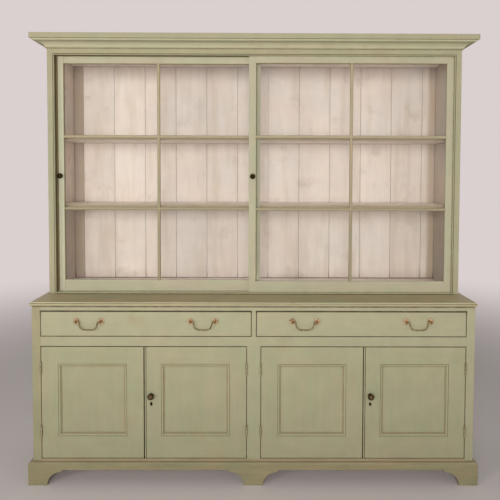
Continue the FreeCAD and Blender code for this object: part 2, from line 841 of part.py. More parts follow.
def lock(name, meeting_edge):
    """A cupboard lock let into the back of a stile, with its bolt and the plate round its keyhole."""
    key_x = meeting_edge + s.knob_edge_distance
    key_y = (face - s.overrun, lock_y[0] + s.keyhole_depth)
    slot_low = lock_z - s.keyhole_length + s.keyhole_radius
    eye = rod(name + "_eye", s.keyhole_radius, (key_x, key_y[0], lock_z), key_y[1] - key_y[0], "y")
    slot = board(name + "_slot", about(key_x, s.keyhole_slot), key_y, (slot_low, lock_z))
    keyway = joined(name + "_keyway", [eye, slot])
    rim = s.keyhole_radius + s.escutcheon_rim
    rim_y = (face - s.escutcheon_proud, face)
    rim_low = slot_low - s.escutcheon_rim + rim
    plate = joined(name + "_plate", [
        rod(name + "_plate_top", rim, (key_x, rim_y[0], lock_z), s.escutcheon_proud, "y"),
        rod(name + "_plate_foot", rim, (key_x, rim_y[0], rim_low), s.escutcheon_proud, "y"),
        board(name + "_plate_middle", (key_x - rim, key_x + rim), rim_y, (rim_low, lock_z)),
    ])
    bolt_x = (meeting_edge, meeting_edge + s.bolt_length)
    path_x = (bolt_x[0], bolt_x[1] + s.bolt_clearance)
    path = board(name + "_path", path_x, grown(bolt_y, s.bolt_clearance), grown(bolt_z, s.bolt_clearance))
    case_x = (meeting_edge, meeting_edge + s.lock_width)
    case = board(name + "_case_raw", case_x, lock_y, about(lock_z, s.lock_height))
    body = cut(name + "_case", case, [path, keyway])
    keep(name, group(name + "_group", [body, cut(name + "_escutcheon", plate, [keyway])]))
    keep(name + "_bolt", board(name + "_bolt_bar", bolt_x, bolt_y, bolt_z))
    return [case, keyway]


def beaded_stile(name, x, y, z):
    """The meeting stile of a door that closes over its fellow's gap, with a bead worked on its edge."""
    bead = s.quirk_bead_radius
    quirk = x[0] + 2 * bead
    return moulded(name, "XY_Plane", [
        (x[0], y[1]),
        (x[0], y[0] + bead),
        (x[0] + bead, y[0], bead, "left"),
        (quirk, y[0] + bead, bead, "left"),
        (quirk + s.quirk_width, y[0] + bead),
        (quirk + s.quirk_width, y[0]),
        (x[1], y[0]),
        (x[1], y[1]),
    ], *z)


def door(number, x, hinges, locked):
    """One panelled door, hung on its left side, or on its right side if it carries the lock."""
    name = f"door_{number}"
    y = (face, face + s.door_thick)
    z = (door_low + s.door_gap, door_top - s.door_top_gap)
    inner_x = (x[0] + s.door_stile_width, x[1] - s.door_stile_width)
    inner_z = (z[0] + s.door_bottom_rail, z[1] - s.door_top_rail)
    panel_y = (face + s.panel_recess, face + s.panel_recess + s.panel_thick)
    panel_x = grown(inner_x, s.panel_groove)
    panel = board(name + "_panel_board", panel_x, panel_y, grown(inner_z, s.panel_groove))
    low_raw = tenoned(name + "_rail_low_raw", inner_x, y, (z[0], inner_z[0]), "x")
    top_raw = tenoned(name + "_rail_top_raw", inner_x, y, (inner_z[1], z[1]), "x")
    rails = [cut(name + "_rail_low", low_raw, [panel]), cut(name + "_rail_top", top_raw, [panel])]
    recesses = [hinge[3] for hinge in hinges]
    if locked:
        meeting_cuts = lock(name + "_lock", x[0])
        meeting_raw = beaded_stile(name + "_meeting_raw", (x[0], inner_x[0]), y, z)
        hanging_raw = board(name + "_hanging_raw", (inner_x[1], x[1]), y, z)
        knob_x = x[0] + s.knob_edge_distance
        keep(name + "_knob", knob(name + "_knob_body", knob_x, face, knob_z, s.knob_radius, s.knob_reach))
    else:
        mortise_x = (x[1] - s.bolt_throw - 2 * s.bolt_clearance, x[1])
        mortise_y = grown(bolt_y, s.bolt_clearance)
        mortise_z = grown(bolt_z, s.bolt_clearance)
        meeting_cuts = [board(name + "_bolt_mortise", mortise_x, mortise_y, mortise_z)]
        meeting_raw = board(name + "_meeting_raw", (inner_x[1], x[1]), y, z)
        hanging_raw = board(name + "_hanging_raw", (x[0], inner_x[0]), y, z)
    meeting = cut(name + "_meeting_stile", meeting_raw, rails + [panel] + meeting_cuts)
    hanging = cut(name + "_hanging_stile", hanging_raw, rails + [panel] + recesses)
    moulding = panel_moulding(name + "_moulding", inner_x, inner_z)
    keep(name + "_frame", group(name + "_frame_group", [meeting, hanging] + rails))
    keep(name + "_panel", group(name + "_panel_group", [panel] + moulding))
    keep(name + "_hinges", group(name + "_hinges_group", [hinge[1] for hinge in hinges]))


def base_doors():
    recesses = {"end_left": [], "end_right": [], "centre": []}
    fixed = []
    pairs = ((-opening_edge, -centre_edge), (centre_edge, opening_edge))
    heights = (("lower", door_low + s.lower_hinge_rise), ("upper", door_top - s.upper_hinge_drop))
    for pair, (low, high) in enumerate(pairs):
        middle = (low + high) / 2
        first, second = 2 * pair + 1, 2 * pair + 2
        for number, edge, way, spot in ((first, low, 1, "end_left"), (second, high, -1, "end_right")):
            name = f"door_{number}_hinge"
            gap_centre = edge + way * s.door_gap / 2
            hinges = [hinge_parts(f"{name}_{row}", gap_centre, way, height) for row, height in heights]
            at_centre = (pair == 0) == (way < 0)
            recesses["centre" if at_centre else spot] += [hinge[2] for hinge in hinges]
            fixed += [hinge[0] for hinge in hinges]
            meeting = middle - way * s.door_meeting_gap / 2
            x = (edge + way * s.door_gap, meeting) if way > 0 else (meeting, edge + way * s.door_gap)
            door(number, x, hinges, way < 0)
    keep("hinge_leaves_fixed", group("hinge_leaves_fixed_group", fixed))
    return recesses


# Drawers
def dovetail_pins(name, x, y, z):
    """The spaces of four dovetail pins at the end of a side: half pins at its edges and two between.
    y runs from the end of the tails to their root, and the tails are wider at their end."""
    step = (z[1] - z[0]) / 3
    tip = s.tail_pin_tip / 2
    base = s.tail_pin_root / 2
    pins = []
    for row in range(4):
        middle = z[0] + row * step
        low = 0 if row == 0 else 1
        high = 0 if row == 3 else 1
        corners = [(y[0], middle - low * tip), (y[1], middle - low * base),
                   (y[1], middle + high * base), (y[0], middle + high * tip)]
        pins.append(moulded(f"{name}_{row + 1}", "YZ_Plane", corners, *x))
    return pins


def drawer(name, x):
    z = (drawer_low + s.drawer_gap, drawer_top - s.drawer_top_gap)
    y = (face, face + s.drawer_front_thick)
    front_x = (x[0] + s.drawer_gap, x[1] - s.drawer_gap)
    side_y = (face + s.drawer_front_thick - s.drawer_lap, face + s.drawer_depth)
    side_z = (drawer_low + s.running_clearance, drawer_low + s.running_clearance + s.drawer_side_height)
    bottom_z = (side_z[0] + s.drawer_bottom_rise, side_z[0] + s.drawer_bottom_rise + s.drawer_bottom_thick)
    inner_x = (front_x[0] + s.drawer_side_thick, front_x[1] - s.drawer_side_thick)
    bottom_y = (y[1] - s.drawer_groove, side_y[1])
    bottom = board(name + "_bottom", grown(inner_x, s.drawer_groove), bottom_y, bottom_z)
    left_raw = board(name + "_side_left_raw", (front_x[0], inner_x[0]), side_y, side_z)
    right_raw = board(name + "_side_right_raw", (inner_x[1], front_x[1]), side_y, side_z)
    rear_y = (side_y[1] - s.drawer_side_thick, side_y[1])
    rear_z = (bottom_z[1], side_z[1])
    pins = dovetail_pins(name + "_front_pin", grown(front_x, s.overrun), (side_y[0], y[1]), side_z)
    pins += dovetail_pins(name + "_rear_pin", grown(front_x, s.overrun), (side_y[1], rear_y[0]), rear_z)
    left = cut(name + "_side_left", left_raw, [bottom] + pins)
    right = cut(name + "_side_right", right_raw, [bottom] + pins)
    rear = cut(name + "_rear", board(name + "_rear_board", front_x, rear_y, rear_z), [left, right])
    front = board(name + "_front_board", front_x, y, z)
    keep(name + "_front", cut(name + "_front_cut", front, [left, right, bottom]))
    keep(name + "_box", group(name + "_box_group", [left, right, rear, bottom]))
    middle = (x[0] + x[1]) / 2
    axis_y = face - s.bail_stand
    posts = []
    for side, way in (("left", -1), ("right", 1)):
        centre = middle + way * s.handle_offset
        post_x = about(centre, s.handle_centres)
        posts.append(handle_post(f"{name}_{side}_near_post", post_x[0], axis_y))
        posts.append(handle_post(f"{name}_{side}_far_post", post_x[1], axis_y))
        keep(f"{name}_bail_{side}", bail(f"{name}_bail_{side}_solid", centre, axis_y))
    keep(name + "_handle_posts", group(name + "_handle_posts_group", posts))


def handle_post(name, x, axis_y):
    """A rose with a round-headed post, bored across for the bail's pin."""
    head = s.post_head_radius
    shoulder = s.bail_stand - root(head * head - s.post_radius * s.post_radius)
    post = turned(name + "_turning", [
        (0, 0),
        (s.rose_radius, 0),
        (s.rose_radius, -s.rose_thick / 2),
        (s.post_radius, -s.rose_thick),
        (s.post_radius, -shoulder),
        (head, -s.bail_stand, head, "right"),
        (0, -s.bail_stand - head, head, "right"),
    ], x, face, handle_z)
    radius = s.bail_pin_radius + s.bail_pin_clearance
    bore = rod(name + "_bore", radius, (x - head - s.overrun, axis_y, handle_z), 2 * (head + s.overrun), "x")
    return cut(name, post, [bore])


def bail(name, centre, axis_y):
    """A drop handle: one rod bent down, across and up again, with a pin at each end."""
    start = s.handle_centres / 2 - s.bail_neck
    elbow = start - s.bail_elbow
    side = elbow - s.bail_slope
    side_low = -(s.bail_drop - s.bail_foot)
    foot = side - s.bail_foot
    body = doc.addObject("PartDesign::Body", name + "_rod")
    route = sketch_on(body, "XZ_Plane", 0, name + "_route")
    draw(route, [
        (-start, 0),
        (-elbow, -s.bail_elbow, s.bail_elbow, "right"),
        (-side, side_low),
        (-foot, -s.bail_drop, s.bail_foot, "left"),
        (foot, -s.bail_drop),
        (side, side_low, s.bail_foot, "left"),
        (elbow, -s.bail_elbow),
        (start, 0, s.bail_elbow, "right"),
    ], closed=False)
    ring = sketch_on(body, "YZ_Plane", -start, name + "_ring")
    circle = Part.Circle(FreeCAD.Vector(0, 0, 0), AXES["z"], float(s.bail_radius))
    edge = ring.addGeometry(circle, False)
    ring.addConstraint(Sketcher.Constraint("Coincident", edge, 3, -1, 1))
    dimension(ring, "Radius", (edge,), s.bail_radius)
    pipe = body.newObject("PartDesign::AdditivePipe", name + "_pipe")
    pipe.Profile = ring
    pipe.Spine = (route, [f"Edge{row + 1}" for row in range(route.GeometryCount)])
    body.Tip = pipe
    place(body, centre, axis_y, handle_z)
    reach = s.bail_neck + s.post_head_radius
    left_start = (centre - start - reach, axis_y, handle_z)
    right_start = (centre + start, axis_y, handle_z)
    left_pin = rod(name + "_left_pin", s.bail_pin_radius, left_start, reach, "x")
    right_pin = rod(name + "_right_pin", s.bail_pin_radius, right_start, reach, "x")
    return joined(name, [body, left_pin, right_pin])


# Glazed top
def top_carcase():
    floor = board("top_floor_board", (-inside_top, inside_top), (guide_back, board_back),
                  (s.worktop_height, s.worktop_height + s.board_thick))
    keep("top_floor", floor)
    reach = inside_top + s.housing_depth
    ceiling = board("top_ceiling_board", (-reach, reach), (frame_back, board_back),
                    (opening_top, opening_top + s.ceiling_thick))
    keep("top_ceiling", ceiling)
    shelf_y = (guide_back + s.shelf_gap, board_back)
    lower_top = s.worktop_height + s.lower_shelf_rise
    upper_top = s.worktop_height + s.upper_shelf_rise
    shelves = [
        board("top_shelf_lower", (-reach, reach), shelf_y, (lower_top - s.shelf_thick, lower_top)),
        board("top_shelf_upper", (-reach, reach), shelf_y, (upper_top - s.shelf_thick, upper_top)),
    ]
    keep("top_shelves", group("top_shelves_group", shelves))
    upright = (s.worktop_height, carcase_top)
    back_z = (s.worktop_height, opening_top + s.ceiling_thick)
    rebate_x = (inside_top, inside_top + s.back_rebate)
    rebate = board("top_back_rebate", rebate_x, (board_back, back), back_z)
    side = board("top_side_raw", (inside_top, half_top), (frame_back, back), upright)
    right = keep("top_side_right", cut("top_side_cut", side, [rebate, ceiling] + shelves))
    keep("top_side_left", mirrored("top_side_mirror", right))
    back_boards("top_back_boards", inside_top + s.back_rebate, s.back_board_pitch, s.back_board_shift,
                back_z, s.back_thick)
    y = (top_face, frame_back)
    stile = board("top_stile_right", (bead_outer, half_top), y, upright)
    head = board("top_head", (-bead_outer, bead_outer), y, (opening_top, carcase_top))
    keep("top_face_frame", group("top_face_frame_group", [stile, mirrored("top_stile_left", stile), head]))


def cock_bead():
    """A half-round bead round the opening, a little proud of the frame, with a quirk beside it."""
    front = top_face - s.bead_proud
    rear = front + s.bead_depth
    turn = (s.bead_width - s.bead_quirk) / 2
    quirk = front + turn + s.bead_quirk_depth
    side = moulded("side_bead", "XY_Plane", [
        (bead_inner, rear),
        (bead_inner, front + turn),
        (bead_inner + turn, front, turn, "left"),
        (bead_outer - s.bead_quirk, front + turn, turn, "left"),
        (bead_outer - s.bead_quirk, quirk),
        (bead_outer, quirk),
        (bead_outer, rear),
    ], s.worktop_height, opening_top)
    low = opening_top - s.bead_width
    head = moulded("head_bead", "YZ_Plane", [
        (rear, low),
        (rear, opening_top),
        (quirk, opening_top),
        (quirk, opening_top - s.bead_quirk),
        (front + turn, opening_top - s.bead_quirk),
        (front, low + turn, turn, "left"),
        (front + turn, low, turn, "left"),
    ], -bead_inner, bead_inner)
    sill_turn = s.sill_bead_height / 2
    sill = moulded("sill_bead", "YZ_Plane", [
        (rear, s.worktop_height),
        (rear, s.worktop_height + s.sill_bead_height),
        (front + sill_turn, s.worktop_height + s.sill_bead_height),
        (front, s.worktop_height + sill_turn, sill_turn, "left"),
        (front + sill_turn, s.worktop_height, sill_turn, "left"),
    ], -bead_inner, bead_inner)
    keep("cock_bead", group("cock_bead_group", [side, mirrored("side_bead_mirror", side), head, sill]))


def sash_tracks():
    bead_back = top_face - s.bead_proud + s.bead_depth
    runner_top = s.worktop_height + s.runner_board_thick
    wide = (-jamb_face, jamb_face)
    parting_y = (parting_face, parting_face + s.parting_thick)
    guide_y = (guide_face, guide_back)
    inner = jamb_face - s.parting_proud
    upright = (s.worktop_height, opening_top)
    side_z = (runner_top + s.parting_height, opening_top - s.parting_height)
    jamb = board("track_jamb", (jamb_face, inside_top), (frame_back, guide_back), upright)
    side_strips = [
        board("track_parting_side", (inner, jamb_face), parting_y, side_z),
        board("track_guide_side", (inner, jamb_face), guide_y, side_z),
    ]
    pieces = [jamb] + side_strips
    pieces += [mirrored(piece.Name + "_mirror", piece) for piece in pieces]
    top_z = (opening_top - s.parting_height, opening_top)
    pieces += [
        board("track_runner", wide, (bead_back, guide_face), (s.worktop_height, runner_top)),
        board("track_parting_low", wide, parting_y, (runner_top, runner_top + s.parting_height)),
        board("track_guide_low", wide, guide_y, (s.worktop_height, runner_top + s.parting_height)),
        board("track_parting_top", wide, parting_y, top_z),
        board("track_guide_top", wide, guide_y, top_z),
    ]
    keep("sash_tracks", group("sash_tracks_group", pieces))


def sash(name, left, front):
    """A glazed sash of two columns and three rows, scribed together at its mouldings."""
    right = left + sash_width
    rear = front + s.sash_thick
    low = s.worktop_height + s.runner_board_thick + s.sash_gap
    high = opening_top - s.sash_top_gap
    wide = s.sash_stile_width
    mould = s.sash_moulding
    lip = front + mould + s.sash_lip
    flat = left + wide - mould
    stile_left = moulded(name + "_stile_left", "XY_Plane", [
        (left, front),
        (flat, front),
        (left + wide, front + mould, mould, "left"),
        (left + wide, lip),
        (flat, lip),
        (flat, rear),
        (left, rear),
    ], low, high)
    middle = left + sash_width / 2
    stile_right = mirrored(name + "_stile_right", stile_left, x=middle)
    inner = (flat, right - wide + mould)
    sight_low = low + s.sash_bottom_rail
    sight_high = high - s.sash_top_rail
    rail_low = moulded(name + "_rail_low_raw", "YZ_Plane", [
        (front, low),
        (rear, low),
        (rear, sight_low - mould),
        (lip, sight_low - mould),
        (lip, sight_low),
        (front + mould, sight_low),
        (front, sight_low - mould, mould, "left"),
    ], *inner)
    rail_high = moulded(name + "_rail_high_raw", "YZ_Plane", [
        (front, high),
        (front, sight_high + mould),
        (front + mould, sight_high, mould, "left"),
        (lip, sight_high),
        (lip, sight_high + mould),
        (rear, sight_high + mould),
        (rear, high),
    ], *inner)
    stiles = [stile_left, stile_right]
    rails = [cut(name + "_rail_low", rail_low, stiles), cut(name + "_rail_high", rail_high, stiles)]
    half = s.sash_bar / 2
    nib = half - mould
    upright = moulded(name + "_bar_raw", "XY_Plane", [
        (middle - nib, front, mould, "left"),
        (middle + nib, front),
        (middle + half, front + mould, mould, "left"),
        (middle + half, lip),
        (middle + nib, lip),
        (middle + nib, rear),
        (middle - nib, rear),
        (middle - nib, lip),
        (middle - half, lip),
        (middle - half, front + mould),
    ], sight_low - mould, sight_high + mould)
    bar = cut(name + "_bar", upright, rails)
    pane_height = (sight_high - sight_low) / 3
    bars = [bar]
    for row in (1, 2):
        height = sight_low + row * pane_height
        across = moulded(f"{name}_cross_bar_{row}_raw", "YZ_Plane", [
            (front, height - nib),
            (front + mould, height - half, mould, "left"),
            (lip, height - half),
            (lip, height - nib),
            (rear, height - nib),
            (rear, height + nib),
            (lip, height + nib),
            (lip, height + half),
            (front + mould, height + half),
            (front, height + nib, mould, "left"),
        ], *inner)
        bars.append(cut(f"{name}_cross_bar_{row}", across, stiles + [bar]))
    keep(name + "_frame", group(name + "_frame_group", stiles + rails + bars))
    panes = []
    bite = s.glass_bite
    columns = ((left + wide - bite, middle - half + bite), (middle + half - bite, right - wide + bite))
    for column, x in enumerate(columns, start=1):
        for row in range(3):
            base = sight_low + row * pane_height
            bottom = base - bite if row == 0 else base + half - bite
            top = base + pane_height + bite if row == 2 else base + pane_height - half + bite
            pane_y = (lip, lip + s.glass_thick)
            panes.append(board(f"{name}_pane_{column}_{row + 1}", x, pane_y, (bottom, top)))
    keep(name + "_panes", group(name + "_panes_group", panes))
    knob_x = left + wide / 2
    turning = knob(name + "_turning", knob_x, front, sash_knob_z, s.sash_knob_radius, s.sash_knob_reach)
    keep(name + "_knob", turning)


# Cornice in three mitred lengths
def cornice():
    base = cornice_top - s.cornice_height
    cove_out = s.cornice_fillet + s.cornice_cove_reach
    cove_up = base + s.cornice_fillet_height + s.cornice_cove_height
    ovolo_out = cove_out + s.cornice_ovolo_reach
    ovolo_up = cove_up + s.cornice_ovolo_height
    steps = [
        (0, base),
        (s.cornice_fillet, base),
        (s.cornice_fillet, base + s.cornice_fillet_height),
        (cove_out, cove_up, s.cornice_cove_radius, "right", "left"),
        (ovolo_out, ovolo_up, s.cornice_ovolo_height, "left", "right"),
        (s.cornice_projection, ovolo_up),
        (s.cornice_projection, cornice_top),
        (0, cornice_top),
    ]
    side_section = [(half_top + step[0], step[1]) + step[2:4] for step in steps]
    front_section = [(top_face - step[0], step[1]) + step[2:3] + step[4:] for step in steps]
    reach = s.cornice_projection
    outer = half_top + reach
    above = cornice_top + s.overrun
    front = moulded("cornice_front", "YZ_Plane", front_section, -outer, outer)
    mitre(front, "XY_Plane", above, (outer, top_face - reach), (half_top, top_face), True)
    mitre(front, "XY_Plane", above, (-outer, top_face - reach), (-half_top, top_face), True)
    side = moulded("cornice_return", "XZ_Plane", side_section, top_face - reach, back)
    mitre(side, "XY_Plane", above, (outer, top_face - reach), (half_top, top_face), False)
    keep("cornice", group("cornice_group", [front, side, mirrored("cornice_return_mirror", side)]))


worktop()
base_frame(base_doors())
base_carcase()
drawer_runners()
plinth()
drawer("drawer_left", (-opening_edge, -divider_edge))
drawer("drawer_right", (divider_edge, opening_edge))
top_carcase()
cock_bead()
sash_tracks()
sash("rear_sash", -jamb_face + s.sash_end_gap, rear_sash)
sash("front_sash", jamb_face - s.sash_end_gap - sash_width, front_sash)
cornice()
doc.recompute()

# Nothing is written unless every object is sound
faults = [item.Name for item in doc.Objects if "Invalid" in item.State or "Error" in item.State]
for node in nodes:
    if node.Shape.isNull() or not node.Shape.isValid() or not node.Shape.Solids:
        faults.append(node.Label)
if faults:
    raise RuntimeError("unsound: " + ", ".join(faults))

os.makedirs("parts", exist_ok=True)
for node in nodes:
    node.Shape.exportStep(f"parts/{node.Label}.step")
whole = Part.makeCompound([node.Shape for node in nodes]).BoundBox
print(len(nodes), "sub-parts,", sum(len(node.Shape.Solids) for node in nodes), "solids")
print("size", round(whole.XLength, 1), round(whole.YLength, 1), round(whole.ZLength, 1))
print("middle", round(whole.Center.x, 3), round(whole.Center.y, 3), "floor", round(whole.ZMin, 3))
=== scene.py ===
# %% [markdown]
# # A painted kitchen dresser
# The real one is a pine cupboard in two stages: a glazed top with two sliding sashes, standing on a
# base of two drawers and four panelled doors. It was painted sage green by brush, cream inside the
# glass, and has been handled ever since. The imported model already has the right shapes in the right
# places, so this file is about finishes: paint, bare pine, old glass, brass and iron, and the small
# fastenings that hold such a piece together.

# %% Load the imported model
import json

import bpy
import numpy as np
from mathutils import Matrix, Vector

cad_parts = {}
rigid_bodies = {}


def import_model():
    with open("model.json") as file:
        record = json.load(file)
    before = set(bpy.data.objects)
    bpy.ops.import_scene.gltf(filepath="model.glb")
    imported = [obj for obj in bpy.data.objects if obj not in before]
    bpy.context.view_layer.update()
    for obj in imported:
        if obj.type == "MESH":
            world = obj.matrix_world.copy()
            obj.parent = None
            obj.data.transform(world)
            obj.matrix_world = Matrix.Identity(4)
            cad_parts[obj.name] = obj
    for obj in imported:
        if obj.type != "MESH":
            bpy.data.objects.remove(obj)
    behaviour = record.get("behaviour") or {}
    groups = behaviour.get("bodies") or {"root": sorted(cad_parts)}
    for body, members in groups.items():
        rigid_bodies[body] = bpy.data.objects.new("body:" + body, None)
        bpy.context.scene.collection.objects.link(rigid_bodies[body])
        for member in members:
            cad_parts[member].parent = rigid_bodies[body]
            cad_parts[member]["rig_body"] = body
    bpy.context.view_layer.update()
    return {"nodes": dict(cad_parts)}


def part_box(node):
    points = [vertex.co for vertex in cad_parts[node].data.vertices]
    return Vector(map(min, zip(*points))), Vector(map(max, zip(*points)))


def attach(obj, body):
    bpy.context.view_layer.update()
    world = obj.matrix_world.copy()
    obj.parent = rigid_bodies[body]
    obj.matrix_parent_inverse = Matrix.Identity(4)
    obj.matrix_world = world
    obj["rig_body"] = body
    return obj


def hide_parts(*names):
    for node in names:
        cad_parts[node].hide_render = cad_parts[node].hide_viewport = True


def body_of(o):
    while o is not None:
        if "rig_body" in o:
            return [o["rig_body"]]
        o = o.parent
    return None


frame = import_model()

# %% [markdown]
# ## Places on the dresser
# A finish often depends on where a face is: dirt lies beside a gap, and a board is cream on one side
# and sooty on the other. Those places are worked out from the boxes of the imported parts, in metres,
# with X across, Y from front to back and Z up. The dresser is its own mirror image about the middle
# in most things, so a length along X is usually taken from its right half.

# %% Read the boxes of the parts
X, Y, Z = 0, 1, 2
lowest, highest = {}, {}
for name in frame["nodes"]:
    lowest[name], highest[name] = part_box(name)
face_y = lowest["base_face_frame"][Y]
worktop_z = highest["worktop"][Z]
door_gap = 0.0015
print("front face at", round(face_y, 4), "m, worktop at", round(worktop_z, 4), "m")

# %% [markdown]
# ## Colours and nodes
# Paint charts give colours as sRGB hex values, but a renderer adds light in linear values, so one
# function turns the first into the second. Shader trees are long lists of the same step: make a
# node, set it up, feed its sockets. One function does that step, so each material below reads as
# the list of its layers.

# %% Turn a hex colour to linear, and add a node
def hex_colour(text):
    """Linear colour of an sRGB hex value: each channel c is c / 12.92 when it is very dark, and
    ((c + 0.055) / 1.055) to the power 2.4 when it is not."""
    c = np.array([int(text[i : i + 2], 16) for i in (1, 3, 5)]) / 255
    linear = np.where(c <= 0.04045, c / 12.92, ((c + 0.055) / 1.055) ** 2.4)
    return (*linear.tolist(), 1.0)


def add(tree, kind, feeds=None, **settings):
    """Adds one node, sets its properties, and feeds its sockets with plain values or links. A text
    is a hex colour, and a node stands for the first of its outputs that is in use."""
    made = tree.nodes.new("ShaderNode" + kind)
    for key, value in settings.items():
        setattr(made, key, value)
    for socket, value in (feeds or {}).items():
        if isinstance(value, str):
            value = hex_colour(value)
        if isinstance(value, bpy.types.Node):
            value = next(output for output in value.outputs if output.enabled)
        if isinstance(value, bpy.types.NodeSocket):
            tree.links.new(value, made.inputs[socket])
        else:
            made.inputs[socket].default_value = value
    return made


def new_material(name):
    """A new material and its node tree, with no node in it."""
    material = bpy.data.materials.new(name)
    material.use_nodes = True
    material.node_tree.nodes.clear()
    return material, material.node_tree


print("the drawers' sage is", [round(value, 3) for value in hex_colour("#a7a384")])

# %% [markdown]
# ## From loose triangles to boards
# A rail and a stile of one frame are different boards, each with its own grain and its own brush
# strokes along it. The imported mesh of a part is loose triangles, so the boards have to be found
# again. Two triangles that share an edge belong together; where two boards touch, four triangles
# share that edge, and taking them two by two in the order of the list keeps the boards apart.
# Labels could be spread by walking from face to face, which is slow in Python. Instead every
# triangle takes the lowest label among its neighbours, in whole arrays, until nothing changes.

# %% Find the boards in a mesh
def triangles_of(mesh):
    """The mesh as two arrays: points in metres, and the three point numbers of each triangle."""
    points = np.empty(len(mesh.vertices) * 3, np.float32)
    corners = np.empty(len(mesh.loops), np.int32)
    mesh.vertices.foreach_get("co", points)
    mesh.loops.foreach_get("vertex_index", corners)
    return points.reshape(-1, 3).astype(float), corners.reshape(-1, 3)


def micrometres(points):
    """Points as whole micrometres, so that equal places compare as equal."""
    return np.round(points * 1e6).astype(np.int64)


def board_labels(points, corners):
    """A label for each triangle, the same all over one closed board."""
    _, welded = np.unique(micrometres(points), axis=0, return_inverse=True)
    faces = welded.reshape(-1)[corners]
    ends = np.concatenate([faces[:, [0, 1]], faces[:, [1, 2]], faces[:, [2, 0]]])
    edge = ends.min(1) * (welded.max() + 1) + ends.max(1)
    owner = np.tile(np.arange(len(faces)), 3)
    order = np.lexsort((owner, edge))
    edge, owner = edge[order], owner[order]
    first = np.r_[True, edge[1:] != edge[:-1]]
    start = np.maximum.accumulate(np.where(first, np.arange(len(edge)), 0))
    odd = (np.arange(len(edge)) - start) % 2 == 1
    a, b = owner[np.flatnonzero(odd) - 1], owner[odd]
    label = np.arange(len(faces))
    while True:
        lower = np.minimum(label[a], label[b])
        spread = label.copy()
        np.minimum.at(spread, a, lower)
        np.minimum.at(spread, b, lower)
        spread = spread[spread]
        if (spread == label).all():
            return np.unique(label, return_inverse=True)[1].reshape(-1)
        label = spread


points, corners = triangles_of(frame["nodes"]["door_1_frame"].data)
print("boards in a door frame:", board_labels(points, corners).max() + 1)

# %% [markdown]
# ## Grain along each board
# Grain and brush strokes follow the length of a board. A copy of the part carries that as an
# attribute on its points: how far along the board, how far across it and how deep, each board
# starting from its own place so that no two look alike. Points are welded board by board, so that
# mouldings shade round and arrises stay crisp. The shape is not changed.

# %% Weld the boards and work out their grain
chance = np.random.default_rng(1847)


def weld_boards(points, corners):
    """The mesh with the equal points of one board made one: the points, the board that each belongs
    to, and the three point numbers of each triangle."""
    board = np.repeat(board_labels(points, corners), 3)
    spots = micrometres(points[corners.reshape(-1)])
    keys, index = np.unique(np.c_[board, spots], axis=0, return_inverse=True)
    return keys[:, 1:] / 1e6, keys[:, 0], index.reshape(-1, 3)


def grain_and_tone(co, owner):
    """For each point its place along, across and into its board, whose longest side is its length,
    from a random start up to 40 m away, and one tone from -1 to 1 for the whole board."""
    count = owner.max() + 1
    low, high = np.full((count, 3), np.inf), np.full((count, 3), -np.inf)
    np.minimum.at(low, owner, co)
    np.maximum.at(high, owner, co)
    axes = np.argsort(low - high, axis=1)
    start = chance.uniform(0, 40, (count, 3))
    tone = chance.uniform(-1, 1, count)
    return np.take_along_axis(co, axes[owner], 1) + start[owner], tone[owner]


co, owner, _ = weld_boards(points, corners)
print("welded points in a door frame:", len(co), "of", len(points))

# %% [markdown]
# ## A dressed copy of a wooden part
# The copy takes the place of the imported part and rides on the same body. One finish covers it, and
# others go on the faces that a test picks out by their centres and normals.

# %% Copy a part in its finishes
body_of_node = {name: body_of(node)[0] for name, node in frame["nodes"].items()}
slot_of_node = {name: node.data.materials[0].name.split(".")[0]
                for name, node in frame["nodes"].items()}
board_count = {}
moulding_turn = np.radians(32)


def new_piece(name, points, faces, finishes, turn=None):
    """A new object in the scene, smooth but for edges that turn by more than the angle turn."""
    mesh = bpy.data.meshes.new(name)
    mesh.from_pydata(points.tolist(), [], faces.tolist())
    for finish in finishes:
        mesh.materials.append(finish)
    if turn:
        mesh.shade_smooth()
        mesh.set_sharp_from_angle(angle=turn)
    piece = bpy.data.objects.new(name, mesh)
    bpy.context.scene.collection.objects.link(piece)
    return piece


def finish_numbers(co, faces, others):
    """The number of the finish of each triangle: 0, or the last of the others whose test is met."""
    normal = np.cross(co[faces[:, 1]] - co[faces[:, 0]], co[faces[:, 2]] - co[faces[:, 0]])
    normal /= np.maximum(np.linalg.norm(normal, axis=1, keepdims=True), 1e-12)
    centre = co[faces].mean(1)
    choice = np.zeros(len(faces), np.int32)
    for number, (_, test) in enumerate(others, start=1):
        choice[test(centre, normal)] = number
    return choice


def dress(name, finish, others=()):
    """Puts a copy of a wooden part in its place, with its grain written on it. finish covers it, and
    others are pairs of a finish and a test of the centres and normals of faces."""
    co, owner, faces = weld_boards(*triangles_of(frame["nodes"][name].data))
    grain, tone = grain_and_tone(co, owner)
    finishes = [finish, *(other for other, _ in others)]
    piece = new_piece(name + "_dressed", co, faces, finishes, moulding_turn)
    mesh = piece.data
    mesh.attributes.new("grain", "FLOAT_VECTOR", "POINT").data.foreach_set("vector", grain.ravel())
    mesh.attributes.new("tone", "FLOAT", "POINT").data.foreach_set("value", tone)
    mesh.polygons.foreach_set("material_index", finish_numbers(co, faces, others))
    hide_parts(name)
    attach(piece, body_of_node[name])
    board_count[name] = owner.max() + 1


print("slots:", sorted(set(slot_of_node.values())))

# %% [markdown]
# ## Brushed oil paint over pine
# The green is an old flat oil paint put on with a wide brush. Close up it shows faint strokes of 6 to
# 10 mm along each board, over fine 1 mm ridges left by the bristles. Across the room it drifts in
# soft clouds, a hand to an arm wide, between a cooler green and a warmer stone colour. The finish is
# built in layers, in the order in which they came about on the real one: the coat, what made it
# lighter or darker, dirt, and wear. Each layer is a function that takes the colour below it.
#
# One repeat of a noise is about as large as one stroke. A noise is drawn out along a board by more
# repeats in a metre across the board, and into it, than along it.

